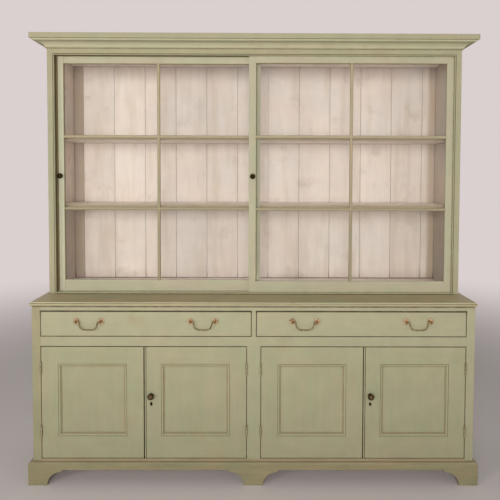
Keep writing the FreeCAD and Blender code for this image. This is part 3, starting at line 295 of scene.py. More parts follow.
# %% The coat
repeats = {  # in a metre, with about the size in millimetres that each gives
    "drift": 4.0,  # 250
    "cloud": 12.0,  # 80
    "smudge": 7.0,  # 140
    "patch": 17.0,  # 60
    "blotch": 46.0,  # 22
    "lane": (2.2, 16.0, 16.0),  # 450 long and 60 wide
    "scuff": (6.0, 50.0, 50.0),  # 170 long and 20 wide
    "stroke": (4.0, 140.0, 140.0),  # 250 long and 7 wide
    "bristle": (9.0, 900.0, 900.0),  # 110 long and 1 wide
}


def along_grain(tree, grain, scale, detail, rough=0.5):
    """A noise drawn out along the boards, with scale repeats in a metre along, across and into one."""
    at = add(tree, "Mapping", {"Vector": grain, "Scale": scale})
    return add(tree, "TexNoise", {"Vector": at, "Scale": 1.0, "Detail": detail, "Roughness": rough})


def coat(tree, place, grain, paint, green, warm):
    """The coat as it was brushed. It drifts between paint and green, and turns warm in lanes along
    each board. Gives its colour, and the lanes."""
    drift = add(tree, "TexNoise", {"Vector": place, "Scale": repeats["drift"], "Detail": 3.0})
    cool = add(tree, "MapRange", {0: drift, 1: 0.36, 2: 0.64}, interpolation_type="SMOOTHSTEP")
    base = add(tree, "Mix", {0: cool, 6: green, 7: paint}, data_type="RGBA")
    lane = along_grain(tree, grain, repeats["lane"], 3.0)
    warmth = add(tree, "MapRange", {0: lane, 1: 0.42, 2: 0.7, 4: 0.65}, interpolation_type="SMOOTHSTEP")
    base = add(tree, "Mix", {0: warmth, 6: base, 7: warm}, data_type="RGBA")
    return base, lane


print("brush strokes in a metre across a board:", repeats["stroke"][1])

# %% [markdown]
# ## Lighter and darker paint
# No board of an old dresser is quite the colour of its neighbour. Some coats went on thicker, the
# paint is darker towards the floor, partly from dust and partly as painted shade, and boots and brooms
# leave long scuffs. All of that only makes the same paint lighter or darker, so it is one factor near
# 1, and each cause multiplies it.

# %% How light the paint is
def lightness(tree, place, grain, stroke, height, tall, scuff):
    """A factor near 1. Boards differ by 1.2% of it, strokes by 2.2%, and clouds by 3.5%. tall is how
    much darker the paint is low down, partly from dust and partly as painted shade, and the heights
    where that is in full and where it ends. Scuffs differ by the share scuff."""
    tone = add(tree, "Attribute", attribute_name="tone").outputs["Fac"]
    lift = add(tree, "MapRange", {0: stroke, 1: 0.25, 2: 0.75, 3: 0.978, 4: 1.022})
    lift = add(tree, "Math", {0: tone, 1: 0.012, 2: lift}, operation="MULTIPLY_ADD")
    cloud = add(tree, "TexNoise", {"Vector": place, "Scale": repeats["cloud"], "Detail": 2.5})
    cloud = add(tree, "MapRange", {0: cloud, 1: 0.3, 2: 0.7, 3: 0.965, 4: 1.035})
    share, start, end = tall
    low_dust_and_shade = add(tree, "MapRange", {0: height, 1: start, 2: end, 3: 1.0 - share, 4: 1.0})
    scuffs = along_grain(tree, grain, repeats["scuff"], 5.0, 0.7)
    scuffs = add(tree, "MapRange", {0: scuffs, 1: 0.3, 2: 0.7, 3: 1 - scuff, 4: 1 + scuff})
    for layer in (cloud, low_dust_and_shade, scuffs):
        lift = add(tree, "Math", {0: lift, 1: layer}, operation="MULTIPLY")
    return lift


# The paint is 24% darker at the floor and not at all from 0.86 m up, partly dust and partly painted
# shade.
floor_dust_and_shade = (0.24, 0.0, 0.86)
print("paint at the floor is darker by", floor_dust_and_shade[0])

# %% [markdown]
# ## The backs behind the glass
# The cream boards behind the glass carry painted light and shade across them: 8% lighter at the left
# end, 13% darker from there to the middle, and 8% up again towards the right end. The outermost
# boards are painted brown as shade, and brown drips have run down the lowest 70 mm of the joints. The
# left brown board ends at a joint, so its edge is sharp, and the right one fades over 20 mm.

# %% Painted shade and drips on the backs
# Spans across the backs in metres, with the factors of painted light and shade at their two ends.
shade_spans_across = (((-0.85, -0.5), (1.08, 0.87)), ((-0.1, 0.6), (1.0, 1.08)))
# From these places outward, the outermost boards are painted brown as shade.
outer_shade_from = (-0.9955, 1.012)
outer_board_shade, drip_brown = "#bda893", "#6b4a2e"
drip_z = (worktop_z + 0.071, worktop_z + 0.036)


def shaded_across(tree, across, lift):
    """The factor of lightness, multiplied from end to end of each span by its two values, as painted
    shade.
    """
    for (start, end), (first, last) in shade_spans_across:
        across_shade = add(tree, "MapRange", {0: across, 1: start, 2: end, 3: first, 4: last})
        lift = add(tree, "Math", {0: lift, 1: across_shade}, operation="MULTIPLY")
    return lift


def outer_boards_shaded(tree, across, lane, base):
    """The outermost boards, painted brown as shade, in lanes along the grain."""
    left, right = outer_shade_from
    left_end = add(tree, "MapRange", {0: across, 1: left, 2: left - 0.001})
    right_end = add(tree, "MapRange", {0: across, 1: right - 0.012, 2: right + 0.008})
    gone = add(tree, "Math", {0: left_end, 1: right_end}, operation="MAXIMUM")
    patchy = add(tree, "MapRange", {0: lane, 1: 0.35, 2: 0.65, 3: 0.97, 4: 0.72})
    gone = add(tree, "Math", {0: gone, 1: patchy}, operation="MULTIPLY")
    return add(tree, "Mix", {0: gone, 6: base, 7: outer_board_shade}, data_type="RGBA")


def dripped(tree, height, corner, base):
    """Brown where a point lies low enough and close to a joint."""
    low = add(tree, "MapRange", {0: height, 1: drip_z[0], 2: drip_z[1]})
    joint = add(tree, "MapRange", {0: corner, 1: 0.97, 2: 0.75})
    drip = add(tree, "Math", {0: low, 1: joint}, operation="MULTIPLY")
    return add(tree, "Mix", {0: drip, 6: base, 7: drip_brown}, data_type="RGBA")


print("drips start", round(drip_z[0] - worktop_z, 3), "m above the worktop")

# %% [markdown]
# ## Dirt and wear
# Dirt settles in the corners of mouldings, and where hands, cloths and boots reach, the paint is
# rubbed through at the arrises to brown wood. Both can be found from the shape itself. Rays sent out
# from a point near a corner hit the other side of it, and rays sent into the wood from a point near
# an arris come out again. Ambient Occlusion gives the share of such rays that go free.

# %% Dirt near corners, wear at arrises
# The near black that goes deep in the gaps is painted shade.
smudge_brown, grime_brown, gap_shade_black, bare_streak = "#9d8763", "#645837", "#251805", "#ac9270"
wear_reach = 0.003


def dirtied(tree, place, corner, base, grime, pit):
    """Brown smudges, grime near corners broken up by blotches, and near black in gaps as painted
    shade. corner is 1 in the open and falls to 0 in a gap. Gives the colour, and how black it is."""
    smudge = add(tree, "TexNoise", {
        "Vector": place, "Scale": repeats["smudge"], "Detail": 4.0, "Roughness": 0.62})
    smudge = add(tree, "MapRange", {0: smudge, 1: 0.58, 2: 0.8, 4: 0.4})
    blotch = add(tree, "TexNoise", {
        "Vector": place, "Scale": repeats["blotch"], "Detail": 4.0, "Roughness": 0.65})
    share = add(tree, "MapRange", {0: blotch, 1: 0.3, 2: 0.62, 3: 0.35, 4: 1.0})
    dirt = add(tree, "MapRange", {0: corner, 1: 0.93, 2: 0.4, 3: 0.0, 4: 1.0})
    dirt = add(tree, "Math", {0: dirt, 1: share}, operation="MULTIPLY")
    dirt = add(tree, "Math", {0: dirt, 1: grime}, operation="MULTIPLY", use_clamp=True)
    black = add(tree, "MapRange", {0: corner, 1: pit[0], 2: pit[1], 3: 0.0, 4: 0.92})
    for layer, brown in ((smudge, smudge_brown), (dirt, grime_brown), (black, gap_shade_black)):
        base = add(tree, "Mix", {0: layer, 6: base, 7: brown}, data_type="RGBA")
    return base, black


def rubbed(tree, patch, stroke, base, rub, under):
    """Paint gone near an arris, and in a few scuffs. Gives the colour, and how far it is gone."""
    arris = add(tree, "AmbientOcclusion", {"Distance": wear_reach}, samples=6, only_local=True,
                inside=True)
    edge = add(tree, "MapRange", {0: arris.outputs["AO"], 1: 0.9, 2: 0.4, 3: 0.0, 4: 1.0})
    worn = add(tree, "Math", {0: edge, 1: rub, 2: patch}, operation="MULTIPLY_ADD")
    worn = add(tree, "MapRange", {0: worn, 1: 0.78, 2: 1.0, 4: 0.85}, interpolation_type="SMOOTHSTEP")
    wood = add(tree, "Mix", {0: stroke, 6: under, 7: bare_streak}, data_type="RGBA")
    base = add(tree, "Mix", {0: worn, 6: base, 7: wood}, data_type="RGBA")
    return base, worn


print("paint is rubbed from the last", wear_reach * 1000, "mm before an arris")

# %% [markdown]
# ## Dark rims of the gaps
# Dirt and painted shade lie on both sides of the gaps round the drawers and doors, and a line of
# painted shadow runs below the nosing of the worktop. Those gaps are the outlines of rectangles in the
# plane of the front, and the distance to the outline of a rectangle is the larger of two lengths, how
# far outside it a point is along X and along Z, without its sign.

# %% Where the gaps run, and their rims
half_gap = door_gap / 2
drawer_low, drawer_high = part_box("drawer_right_front")
# A line of painted shadow runs 4.5 mm below the worktop, on the rail under its nosing.
nosing_shadow_z = lowest["worktop"][Z] - 0.0045
rim_reach = (0.0036, 0.0016)
rim_light, rim_dark = "#6b4724", "#35240c"
drawer_z = (drawer_low[Z] - 0.0005, drawer_high[Z] + 0.0025)
door_z = (lowest["door_3_frame"][Z] - half_gap, highest["door_4_frame"][Z] + 0.0013)
meeting_x = (highest["door_3_frame"][X] + lowest["door_4_frame"][X]) / 2
drawer_x = (drawer_low[X] - half_gap, drawer_high[X] + half_gap)
doors_x = (lowest["door_3_frame"][X] - half_gap, highest["door_4_frame"][X] + half_gap)
gap_outlines = ((drawer_x, drawer_z), (doors_x, door_z), ((meeting_x, meeting_x), door_z))


def off_outline(tree, across, height, outline):
    """The distance in metres to the outline of a rectangle in X and Z, given by its two ranges:
    max(|x - mx| - hx, |z - mz| - hz), without its sign, where m is the middle and h half the size."""
    over = []
    for value, (start, end) in zip((across, height), outline):
        shift = add(tree, "Math", {0: value, 1: (start + end) / 2}, operation="SUBTRACT")
        size = add(tree, "Math", {0: shift}, operation="ABSOLUTE")
        over.append(add(tree, "Math", {0: size, 1: (end - start) / 2}, operation="SUBTRACT"))
    larger = add(tree, "Math", {0: over[0], 1: over[1]}, operation="MAXIMUM")
    return add(tree, "Math", {0: larger}, operation="ABSOLUTE")


def gap_dirt_and_shade(tree, spot, patch, base, seams):
    """Brown rims beside the gaps, partly dirt and partly painted shade, and a painted shadow line
    below the nosing, as dark as seams says, and broader along the top of the drawers and below the doors."""
    height = spot.outputs["Z"]
    across = add(tree, "Math", {0: spot.outputs["X"]}, operation="ABSOLUTE")
    near = add(tree, "Math", {0: height, 1: nosing_shadow_z}, operation="SUBTRACT")
    near = add(tree, "Math", {0: near}, operation="ABSOLUTE")
    for outline in gap_outlines:
        off = off_outline(tree, across, height, outline)
        near = add(tree, "Math", {0: near, 1: off}, operation="MINIMUM")
    above = add(tree, "MapRange", {
        0: height, 1: drawer_z[1] - 0.021, 2: drawer_z[1] - 0.006, 3: 1.0, 4: 0.58})
    below = add(tree, "MapRange", {
        0: height, 1: door_z[0] + 0.0233, 2: door_z[0] + 0.0083, 3: 1.0, 4: 0.7})
    for broader in (above, below):
        near = add(tree, "Math", {0: near, 1: broader}, operation="MULTIPLY")
    rim = add(tree, "MapRange", {0: near, 1: rim_reach[0], 2: rim_reach[1], 3: 0.0, 4: seams})
    uneven = add(tree, "MapRange", {0: patch, 1: 0.35, 2: 0.6, 3: 0.6, 4: 1.0})
    rim = add(tree, "Math", {0: rim, 1: uneven}, operation="MULTIPLY")
    brown = add(tree, "Mix", {0: uneven, 6: rim_light, 7: rim_dark}, data_type="RGBA")
    return add(tree, "Mix", {0: rim, 6: base, 7: brown}, data_type="RGBA")


for across, height in gap_outlines:
    print("gap from", np.round((across[0], height[0]), 4), "to", np.round((across[1], height[1]), 4))

# %% [markdown]
# ## The whole paint
# The layers go on one after another. A flat oil paint is near 0.5 rough, smoother on the ridges of
# the brush and rougher where it is gone. Deep gaps are painted near black as shade and do not shine. A
# Bevel node rounds each arris by 1.2 mm in the shading, because no wooden edge is sharp after a
# hundred years of hands.

# %% Brushed oil paint
def oil_paint(name, paint, green, warm, under, rub, grime, tall=(0.0, 0.0, 0.86), reach=0.008,
              own=False, backs=False, pit=(0.42, 0.12), seams=0.0, scuff=0.03):
    """Brushed oil paint over pine. paint, green and warm are the colours of the coat, and under is
    the wood below it. rub is how far the arrises are worn through, and grime how much dirt lies
    within reach of a corner. In gaps the paint goes near black as painted shade, from the first to the
    second value of pit. own says that only the part's own corners count, and backs that this is the
    paint behind the glass."""
    material, tree = new_material(name)
    place = add(tree, "TexCoord").outputs["Object"]
    spot = add(tree, "SeparateXYZ", {0: place})
    grain = add(tree, "Attribute", attribute_name="grain").outputs["Vector"]
    stroke = along_grain(tree, grain, repeats["stroke"], 4.0, 0.6)
    bristle = along_grain(tree, grain, repeats["bristle"], 2.0)
    patch = add(tree, "TexNoise", {
        "Vector": place, "Scale": repeats["patch"], "Detail": 5.0, "Roughness": 0.7})
    corner = add(tree, "AmbientOcclusion", {"Distance": reach}, samples=6, only_local=own).outputs["AO"]

    base, lane = coat(tree, place, grain, paint, green, warm)
    lift = lightness(tree, place, grain, stroke, spot.outputs["Z"], tall, scuff)
    if backs:
        lift = shaded_across(tree, spot.outputs["X"], lift)
    base = add(tree, "HueSaturation", {"Color": base, "Value": lift})
    if backs:
        base = outer_boards_shaded(tree, spot.outputs["X"], lane, base)
    base, black = dirtied(tree, place, corner, base, grime, pit)
    if backs:
        base = dripped(tree, spot.outputs["Z"], corner, base)
    if seams:
        base = gap_dirt_and_shade(tree, spot, patch, base, seams)
    base, worn = rubbed(tree, patch, stroke, base, rub, under)

    rough = add(tree, "MapRange", {0: stroke, 1: 0.2, 2: 0.8, 3: 0.44, 4: 0.6})
    rough = add(tree, "Math", {0: worn, 1: 0.18, 2: rough}, operation="MULTIPLY_ADD")
    shine = add(tree, "MapRange", {0: black, 3: 0.5, 4: 0.04})
    ridges = add(tree, "Math", {0: bristle, 1: 0.35, 2: stroke}, operation="MULTIPLY_ADD")
    ridges = add(tree, "Math", {0: worn, 1: -0.8, 2: ridges}, operation="MULTIPLY_ADD")
    soft = add(tree, "Bevel", {"Radius": 0.0012}, samples=4)
    bump = add(tree, "Bump", {"Height": ridges, "Distance": 0.00025, "Strength": 0.5, "Normal": soft})
    shader = add(tree, "BsdfPrincipled", {
        "Base Color": base, "Normal": bump, "Roughness": rough, "IOR": 1.48, "Specular IOR Level": shine})
    add(tree, "OutputMaterial", {"Surface": shader})
    return material


sage = oil_paint("brushed_sage_oil_paint", "#a59f81", "#a1a081", "#aa9f81", "#8a7152", 0.38, 0.9)
print("nodes in the plain sage paint:", len(sage.node_tree.nodes))

# %% [markdown]
# ## One paint, many places
# It is one green all over, but each place has had its own life, and some places carry painted light
# or shade. Doors and drawers are dirty round their gaps, with painted shade in and beside them, the
# left end stile is a darker green as painted shade, the plinth was kicked, the worktop was scrubbed
# thin and its top is lighter as painted light, and the bars of the sashes have gone brown. So each
# gets the same paint with its own colours and wear.

# %% Paints of the base
sage_door = oil_paint(
    "brushed_sage_door_paint", "#a5a181", "#a0a07f", "#a9a082", "#87744f", 0.44, 1.0,
    tall=floor_dust_and_shade, seams=0.65)
sage_drawer = oil_paint(
    "brushed_sage_drawer_paint", "#a7a384", "#a3a283", "#aba285", "#8a7152", 0.38, 1.0,
    tall=floor_dust_and_shade, seams=0.85)
sage_frame = oil_paint(
    "brushed_sage_frame_paint", "#a7a384", "#a2a282", "#aba285", "#8a7152", 0.38, 1.0,
    tall=floor_dust_and_shade, seams=0.75)
# The left end stile is a darker green as painted shade; the outsides of the base take the same paint.
sage_stile = oil_paint(
    "sage_stile_painted_shade", "#9a9575", "#959372", "#9f9373", "#7d6648", 0.42, 1.0,
    tall=(0.2, 0.0, 0.86), seams=0.6)
# The faces that look into the gaps are a darker green, and go near black sooner, as painted shade.
sage_gap_shade = oil_paint(
    "sage_gap_painted_shade", "#978f6f", "#93906f", "#9a8f6f", "#7a6343", 0.4, 1.0,
    tall=floor_dust_and_shade, reach=0.016, pit=(0.75, 0.35))
sage_foot = oil_paint(
    "scuffed_sage_plinth_paint", "#918867", "#888766", "#998868", "#6f5a3b", 0.6, 1.0,
    tall=(0.18, 0.0, 0.86), own=True, scuff=0.11)
sage_ledge = oil_paint(
    "worn_plinth_ledge_paint", "#93866a", "#8d8566", "#988668", "#7b6646", 0.4, 0.6,
    own=True, scuff=0.1)
# The top of the worktop is rubbed paint, made lighter where it looks up as painted light.
worktop_top_worn_and_lit = oil_paint("worktop_paint_rubbed_with_painted_light", "#b3a67e", "#a9a27c", "#b7a07c", "#7f6748", 0.4, 0.9)
sage_nose = oil_paint(
    "handled_nosing_paint", "#ada381", "#a9a380", "#b1a082", "#8a7152", 0.3, 1.0, reach=0.005)
# The rounded rim of the nosing is lighter, partly worn paint and partly a painted highlight.
nosing_rim_highlight = oil_paint(
    "nosing_rim_wear_and_painted_highlight", "#c4bb95", "#bfb993", "#c4b594", "#a58d69", 0.3, 0.2, own=True)
# The quirks beside the cock bead and below the nosing are near black, partly dirt and partly painted
# shade.
quirk_dirt_and_shade = oil_paint("quirk_dirt_and_painted_shade", "#2c200f", "#2b2310", "#382512", "#453019", 0.3, 1.0)
print("finishes so far:", len(bpy.data.materials))

# %% Paints of the glazed top
# The faces of the cornice that look down are a lighter green as painted light.
sage_cove = oil_paint("sage_cove_painted_light", "#b8b595", "#b5b594", "#bbb495", "#8a7152", 0.36, 0.9)
sage_rear = oil_paint(
    "brushed_sage_rear_sash_paint", "#b6b094", "#b0af91", "#b9ad96", "#8a7558", 0.33, 0.85, own=True)
# The left stile of the rear sash is a lighter green as painted light.
rear_stile_lit = oil_paint(
    "rear_stile_painted_light", "#c5c0a5", "#bfbfa3", "#c6bca6", "#8f7a5d", 0.33, 0.7, own=True)
sage_front = oil_paint(
    "brushed_sage_front_sash_paint", "#b1ab90", "#abaa8d", "#b4a991", "#8a7558", 0.33, 0.85)
# The lower glazing bars are darker than the upper ones as painted shade.
sage_bar = oil_paint(
    "browned_glazing_bar_paint", "#ab9f80", "#a79e7f", "#b09d80", "#8a7558", 0.33, 1.0,
    tall=(0.2, 1.25, 1.85))
# The sash mouldings that look down or to the right are a darker green as painted shade.
sage_shade = oil_paint(
    "sash_moulding_painted_shade", "#8d8565", "#8a8464", "#928567", "#7a6546", 0.33, 1.0)
track_paint = oil_paint("shadowed_track_paint", "#7b6d4e", "#73694a", "#7e6b4f", "#5f4c30", 0.3, 0.9)
# The shelves, floor and ceiling get a lighter cream than the backs, partly as painted light against the
# shade under the shelves and the ceiling.
cream = oil_paint("cream_distemper", "#f7ebe0", "#f2e9e1", "#f3e2d4", "#a08a76", 0.2, 0.5)
# The front edges of the shelves are a browner, darker cream as painted shade.
shelf_edge_shade = oil_paint("shelf_edge_painted_shade", "#b9a588", "#b5a588", "#bca489", "#8a7558", 0.3, 0.6)
cream_back = oil_paint(
    "cream_distemper_backs", "#f3e3da", "#efe4dd", "#e0cfc1", "#a08a76", 0.2, 0.6, backs=True)
# The insides of the top's sides are a darker cream, the left lighter than the right, and 28% darker below
# 1.2 m: partly their own paint and partly painted light and shade.
side_shade_low = (0.28, 1.2, 1.5)
cream_sides_paint_and_shade = {
    "left": oil_paint(
        "cream_side_left_with_painted_shade", "#e4d4c4", "#dcd2c6", "#d9c5b4", "#8d7a6a", 0.2, 0.7, tall=side_shade_low),
    "right": oil_paint(
        "cream_side_right_with_painted_shade", "#c6b5a4", "#beb4a7", "#bcaa99", "#8d7a6a", 0.2, 0.7, tall=side_shade_low),
}
print("finishes so far:", len(bpy.data.materials))

# %% [markdown]
# ## Bare pine
# Inside the drawers and behind the boards nobody painted. Old pine has gone from straw to a dusty
# brown, with darker lines of late wood 2 to 5 mm apart that wander along the board, and a knot now
# and then. A wave texture in the board's own grain space gives the lines: bands across the board,
# pushed about by noise, so that they run its whole length.

# %% The bare wood
ring_repeats, fibre_repeats, knot_repeats = (1.1, 26.0, 26.0), (14.0, 700.0, 700.0), (2.2, 8.0, 8.0)
knot_brown, soot_brown, dust_grey = "#5f4026", "#6a5137", "#a79a87"


def pine_wood(tree, grain, early, late):
    """Early and late wood in bands along the board, knots, and fibres. Gives the colour, the bands
    and the fibres."""
    tone = add(tree, "Attribute", attribute_name="tone").outputs["Fac"]
    rings_at = add(tree, "Mapping", {"Vector": grain, "Scale": ring_repeats})
    rings = add(tree, "TexWave", {
        "Vector": rings_at, "Scale": 1.6, "Distortion": 5.0, "Detail": 2.0, "Detail Scale": 0.7},
        bands_direction="Y")
    fibre = along_grain(tree, grain, fibre_repeats, 3.0)
    knot_at = add(tree, "Mapping", {"Vector": grain, "Scale": knot_repeats})
    knot = add(tree, "TexVoronoi", {"Vector": knot_at, "Scale": 1.0, "Randomness": 1.0})
    knot = add(tree, "MapRange", {0: knot, 1: 0.13, 2: 0.05})
    band = add(tree, "MapRange", {0: rings.outputs["Fac"], 1: 0.35, 2: 1.0, 4: 0.8})
    wood = add(tree, "Mix", {0: band, 6: early, 7: late}, data_type="RGBA")
    wood = add(tree, "Mix", {0: knot, 6: wood, 7: knot_brown}, data_type="RGBA")
    lift = add(tree, "MapRange", {0: fibre, 1: 0.25, 2: 0.75, 3: 0.9, 4: 1.1})
    lift = add(tree, "Math", {0: tone, 1: 0.09, 2: lift}, operation="MULTIPLY_ADD")
    wood = add(tree, "HueSaturation", {"Color": wood, "Value": lift})
    return wood, band, fibre


def bare_pine(name, early, late, dust):
    """Unpainted pine, sooty in patches and corners, near black in gaps as painted shade, with dust
    over the faces that look up.
    """
    material, tree = new_material(name)
    grain = add(tree, "Attribute", attribute_name="grain").outputs["Vector"]
    place = add(tree, "TexCoord").outputs["Object"]
    wood, band, fibre = pine_wood(tree, grain, early, late)
    stain = add(tree, "TexNoise", {"Vector": place, "Scale": 5.0, "Detail": 4.0, "Roughness": 0.6})
    stain = add(tree, "MapRange", {0: stain, 1: 0.45, 2: 0.75, 4: 0.45})
    corner = add(tree, "AmbientOcclusion", {"Distance": 0.03}, samples=6).outputs["AO"]
    soot = add(tree, "MapRange", {0: corner, 1: 0.95, 2: 0.3, 3: 0.0, 4: 0.6})
    stain = add(tree, "Math", {0: stain, 1: soot}, operation="MAXIMUM")
    black = add(tree, "MapRange", {0: corner, 1: 0.5, 2: 0.15, 3: 0.0, 4: 0.9})
    up = add(tree, "SeparateXYZ", {0: add(tree, "NewGeometry").outputs["True Normal"]}).outputs["Z"]
    grey = add(tree, "Math", {0: up, 1: dust}, operation="MULTIPLY", use_clamp=True)
    for layer, colour in ((stain, soot_brown), (grey, dust_grey), (black, gap_shade_black)):
        wood = add(tree, "Mix", {0: layer, 6: wood, 7: colour}, data_type="RGBA")
    rough = add(tree, "MapRange", {0: band, 3: 0.78, 4: 0.6})
    shine = add(tree, "MapRange", {0: black, 3: 0.5, 4: 0.04})
    relief = add(tree, "Math", {0: band, 1: 0.5, 2: fibre}, operation="MULTIPLY_ADD")
    soft = add(tree, "Bevel", {"Radius": 0.0008}, samples=4)
    bump = add(tree, "Bump", {"Height": relief, "Distance": 0.0003, "Strength": 0.6, "Normal": soft})
    shader = add(tree, "BsdfPrincipled", {
        "Base Color": wood, "Normal": bump, "Roughness": rough, "IOR": 1.5, "Specular IOR Level": shine})
    add(tree, "OutputMaterial", {"Surface": shader})
    return material


pine = bare_pine("bare_pine_inside", "#b08d62", "#8a6440", 0.25)
old_pine = bare_pine("sooty_pine_back", "#8f7354", "#6b5038", 0.4)
print("nodes in the bare pine:", len(pine.node_tree.nodes))

# %% [markdown]
# ## Which face gets which finish
# Most parts are one finish all over. A carcase side is green outside and bare or cream inside, and a
# back board is cream in front and sooty behind, so those choose a finish face by face from where the
# face is and which way it looks. Each test takes the centres c and the normals n of all the faces of
# a part, and a skin is 0.6 mm, thick enough to tell one face from the next.

# %% Tests of faces
skin, crumb = 0.0006, 0.0001
opening_x = highest["door_4_frame"][X] + door_gap
pane_low, pane_high = lowest["front_sash_panes"], highest["front_sash_panes"]
bar_x, bar_levels, bar_half = 0.5055, (1.3605, 1.739), 0.0081
bead_quirk_x, bead_quirk_z = highest["cock_bead"][X] - 0.0023, highest["cock_bead"][Z] - 0.0023
nose_y = lowest["worktop"][Y]
quirk_z = (worktop_z - 0.0073, worktop_z - 0.0049)


def looks_back(c, n):
    """The faces that look backward."""
    return n[:, Y] > 0.5


def looks_forward(c, n):
    """The faces that look forward."""
    return n[:, Y] < -0.5


def within(c, edge):
    """The faces nearer than edge to the middle of the dresser."""
    return np.abs(c[:, X]) < edge


def rim_of(c, n):
    """The faces of a door that look into the gap round it: its outermost planes along X and Z."""
    low, high = c.min(0) + skin, c.max(0) - skin
    along = (np.abs(n[:, X]) > 0.7) & ((c[:, X] < low[X]) | (c[:, X] > high[X]))
    return along | ((np.abs(n[:, Z]) > 0.7) & ((c[:, Z] < low[Z]) | (c[:, Z] > high[Z])))


def bar_of(c, n):
    """The faces of the glazing bars of a sash, 16 mm wide, one upright and two level."""
    upright = np.abs(np.abs(c[:, X]) - bar_x) < bar_half
    upright &= (c[:, Z] > pane_low[Z] + 0.0015) & (c[:, Z] < pane_high[Z] - 0.001)
    level = np.abs(c[:, Z, None] - bar_levels).min(1) < bar_half
    return upright | (level & ~within(c, pane_low[X]) & within(c, pane_high[X]))


def shaded(c, n):
    """The mouldings of a sash that look down or to the right, painted darker as shade."""
    return (n[:, Y] < 0.5) & ((n[:, X] > 0.25) | (n[:, Z] < -0.25))


def nosing_quirk(c, n):
    """The groove run along the front below the rounded rim of the worktop."""
    level = (c[:, Z] > quirk_z[0]) & (c[:, Z] < quirk_z[1])
    depth = (c[:, Y] > nose_y + crumb) & (c[:, Y] < nose_y + 0.012)
    return level & depth & within(c, highest["worktop"][X] - crumb)


print("door opening ends at", round(opening_x, 4), "m from the middle")

# %% [markdown]
# ## Dress the wooden parts
# The order of this list matters in one way only. Each part draws its boards' grain and tone from the
# same row of random numbers, so another order would give each board another look.

# %% Dress the doors, the sashes and the face frames
for number in (1, 2, 3, 4):
    dress(f"door_{number}_frame", sage_door, [(sage_gap_shade, rim_of)])
    dress(f"door_{number}_panel", sage_door)
left_stile_edge = lowest["rear_sash_panes"][X] + 0.0044
dress("rear_sash_frame", sage_rear, [
    (rear_stile_lit, lambda c, n: c[:, X] < left_stile_edge), (sage_shade, shaded), (sage_bar, bar_of)])
dress("front_sash_frame", sage_front, [(sage_shade, shaded), (sage_bar, bar_of)])
dress("cock_bead", sage, [
    (quirk_dirt_and_shade, lambda c, n: ~within(c, bead_quirk_x) | (c[:, Z] > bead_quirk_z))])
dress("base_face_frame", sage_frame, [
    (sage_stile, lambda c, n: c[:, X] < -opening_x - crumb),
    (sage_ledge, lambda c, n: (c[:, Z] < lowest["door_1_frame"][Z] - skin) & looks_forward(c, n)),
    (sage_gap_shade, lambda c, n: (np.abs(n[:, Y]) < 0.5) & within(c, highest["base_face_frame"][X] - 0.001)),
    (pine, looks_back)])
dress("top_face_frame", sage, [(pine, looks_back)])
print(len(board_count), "parts dressed")

# %% Dress the sides, the drawers and the worktop
inside_base, inside_top = lowest["base_side_right"][X] + skin, lowest["top_side_right"][X] + skin
# The heights of the rounded rim, lighter as wear and as a painted highlight.
rim_highlight_z = (worktop_z - 0.005, worktop_z - crumb)
for side in ("left", "right"):
    dress("base_side_" + side, sage_stile, [
        (pine, lambda c, n: within(c, inside_base)), (old_pine, looks_back)])
    dress("top_side_" + side, sage, [
        (cream_sides_paint_and_shade[side], lambda c, n: within(c, inside_top)), (old_pine, looks_back)])
    dress(f"drawer_{side}_front", sage_drawer, [(pine, lambda c, n: n[:, Y] > -0.5)])
    dress(f"drawer_{side}_box", pine)
dress("worktop", sage_nose, [
    (nosing_rim_highlight, lambda c, n: (c[:, Z] > rim_highlight_z[0]) & (c[:, Z] < rim_highlight_z[1])),
    (quirk_dirt_and_shade, nosing_quirk),
    (worktop_top_worn_and_lit, lambda c, n: n[:, Z] > 0.97),
    (pine, lambda c, n: (n[:, Z] < -0.97) | looks_back(c, n))])
print(len(board_count), "parts dressed")

# %% Dress the cornice, the plinth, the backs and the inside
behind = lowest["top_back_boards"][Y] + 0.0015
runner_z = worktop_z + 0.0115
dress("cornice", sage, [
    (sage_cove, lambda c, n: n[:, Z] < -0.2),
    (old_pine, lambda c, n: (n[:, Z] > 0.97) | looks_back(c, n))])
for name in ("plinth_front", "plinth_returns"):
    dress(name, sage_foot, [(sage_ledge, lambda c, n: n[:, Z] > 0.7), (old_pine, looks_back)])
dress("top_back_boards", cream_back, [(old_pine, lambda c, n: c[:, Y] > behind)])
dress("top_shelves", cream, [(shelf_edge_shade, looks_forward)])
dress("top_floor", cream)
dress("top_ceiling", cream, [(old_pine, lambda c, n: n[:, Z] > 0.5)])
dress("base_back_boards", pine, [(old_pine, lambda c, n: c[:, Y] > behind)])
for name in ("base_partition", "base_floor", "base_shelves", "shelf_battens", "drawer_runners",
             "foot_blocks"):
    dress(name, pine)
dress("sash_tracks", track_paint, [
    (sage_rear, lambda c, n: (c[:, Z] < runner_z) & looks_forward(c, n))])
print(len(board_count), "parts dressed,", sum(board_count.values()), "boards")

# %% [markdown]
# ## Old window glass
# The panes are 2 mm drawn glass, a touch green, and not quite flat: broad waves a hand wide bend what
# lies behind. Real glass lets lamplight through to the shelves. A path tracer finds that light only
# by luck, so for rays from the lamps the pane is a plain clear film, a usual stand-in.

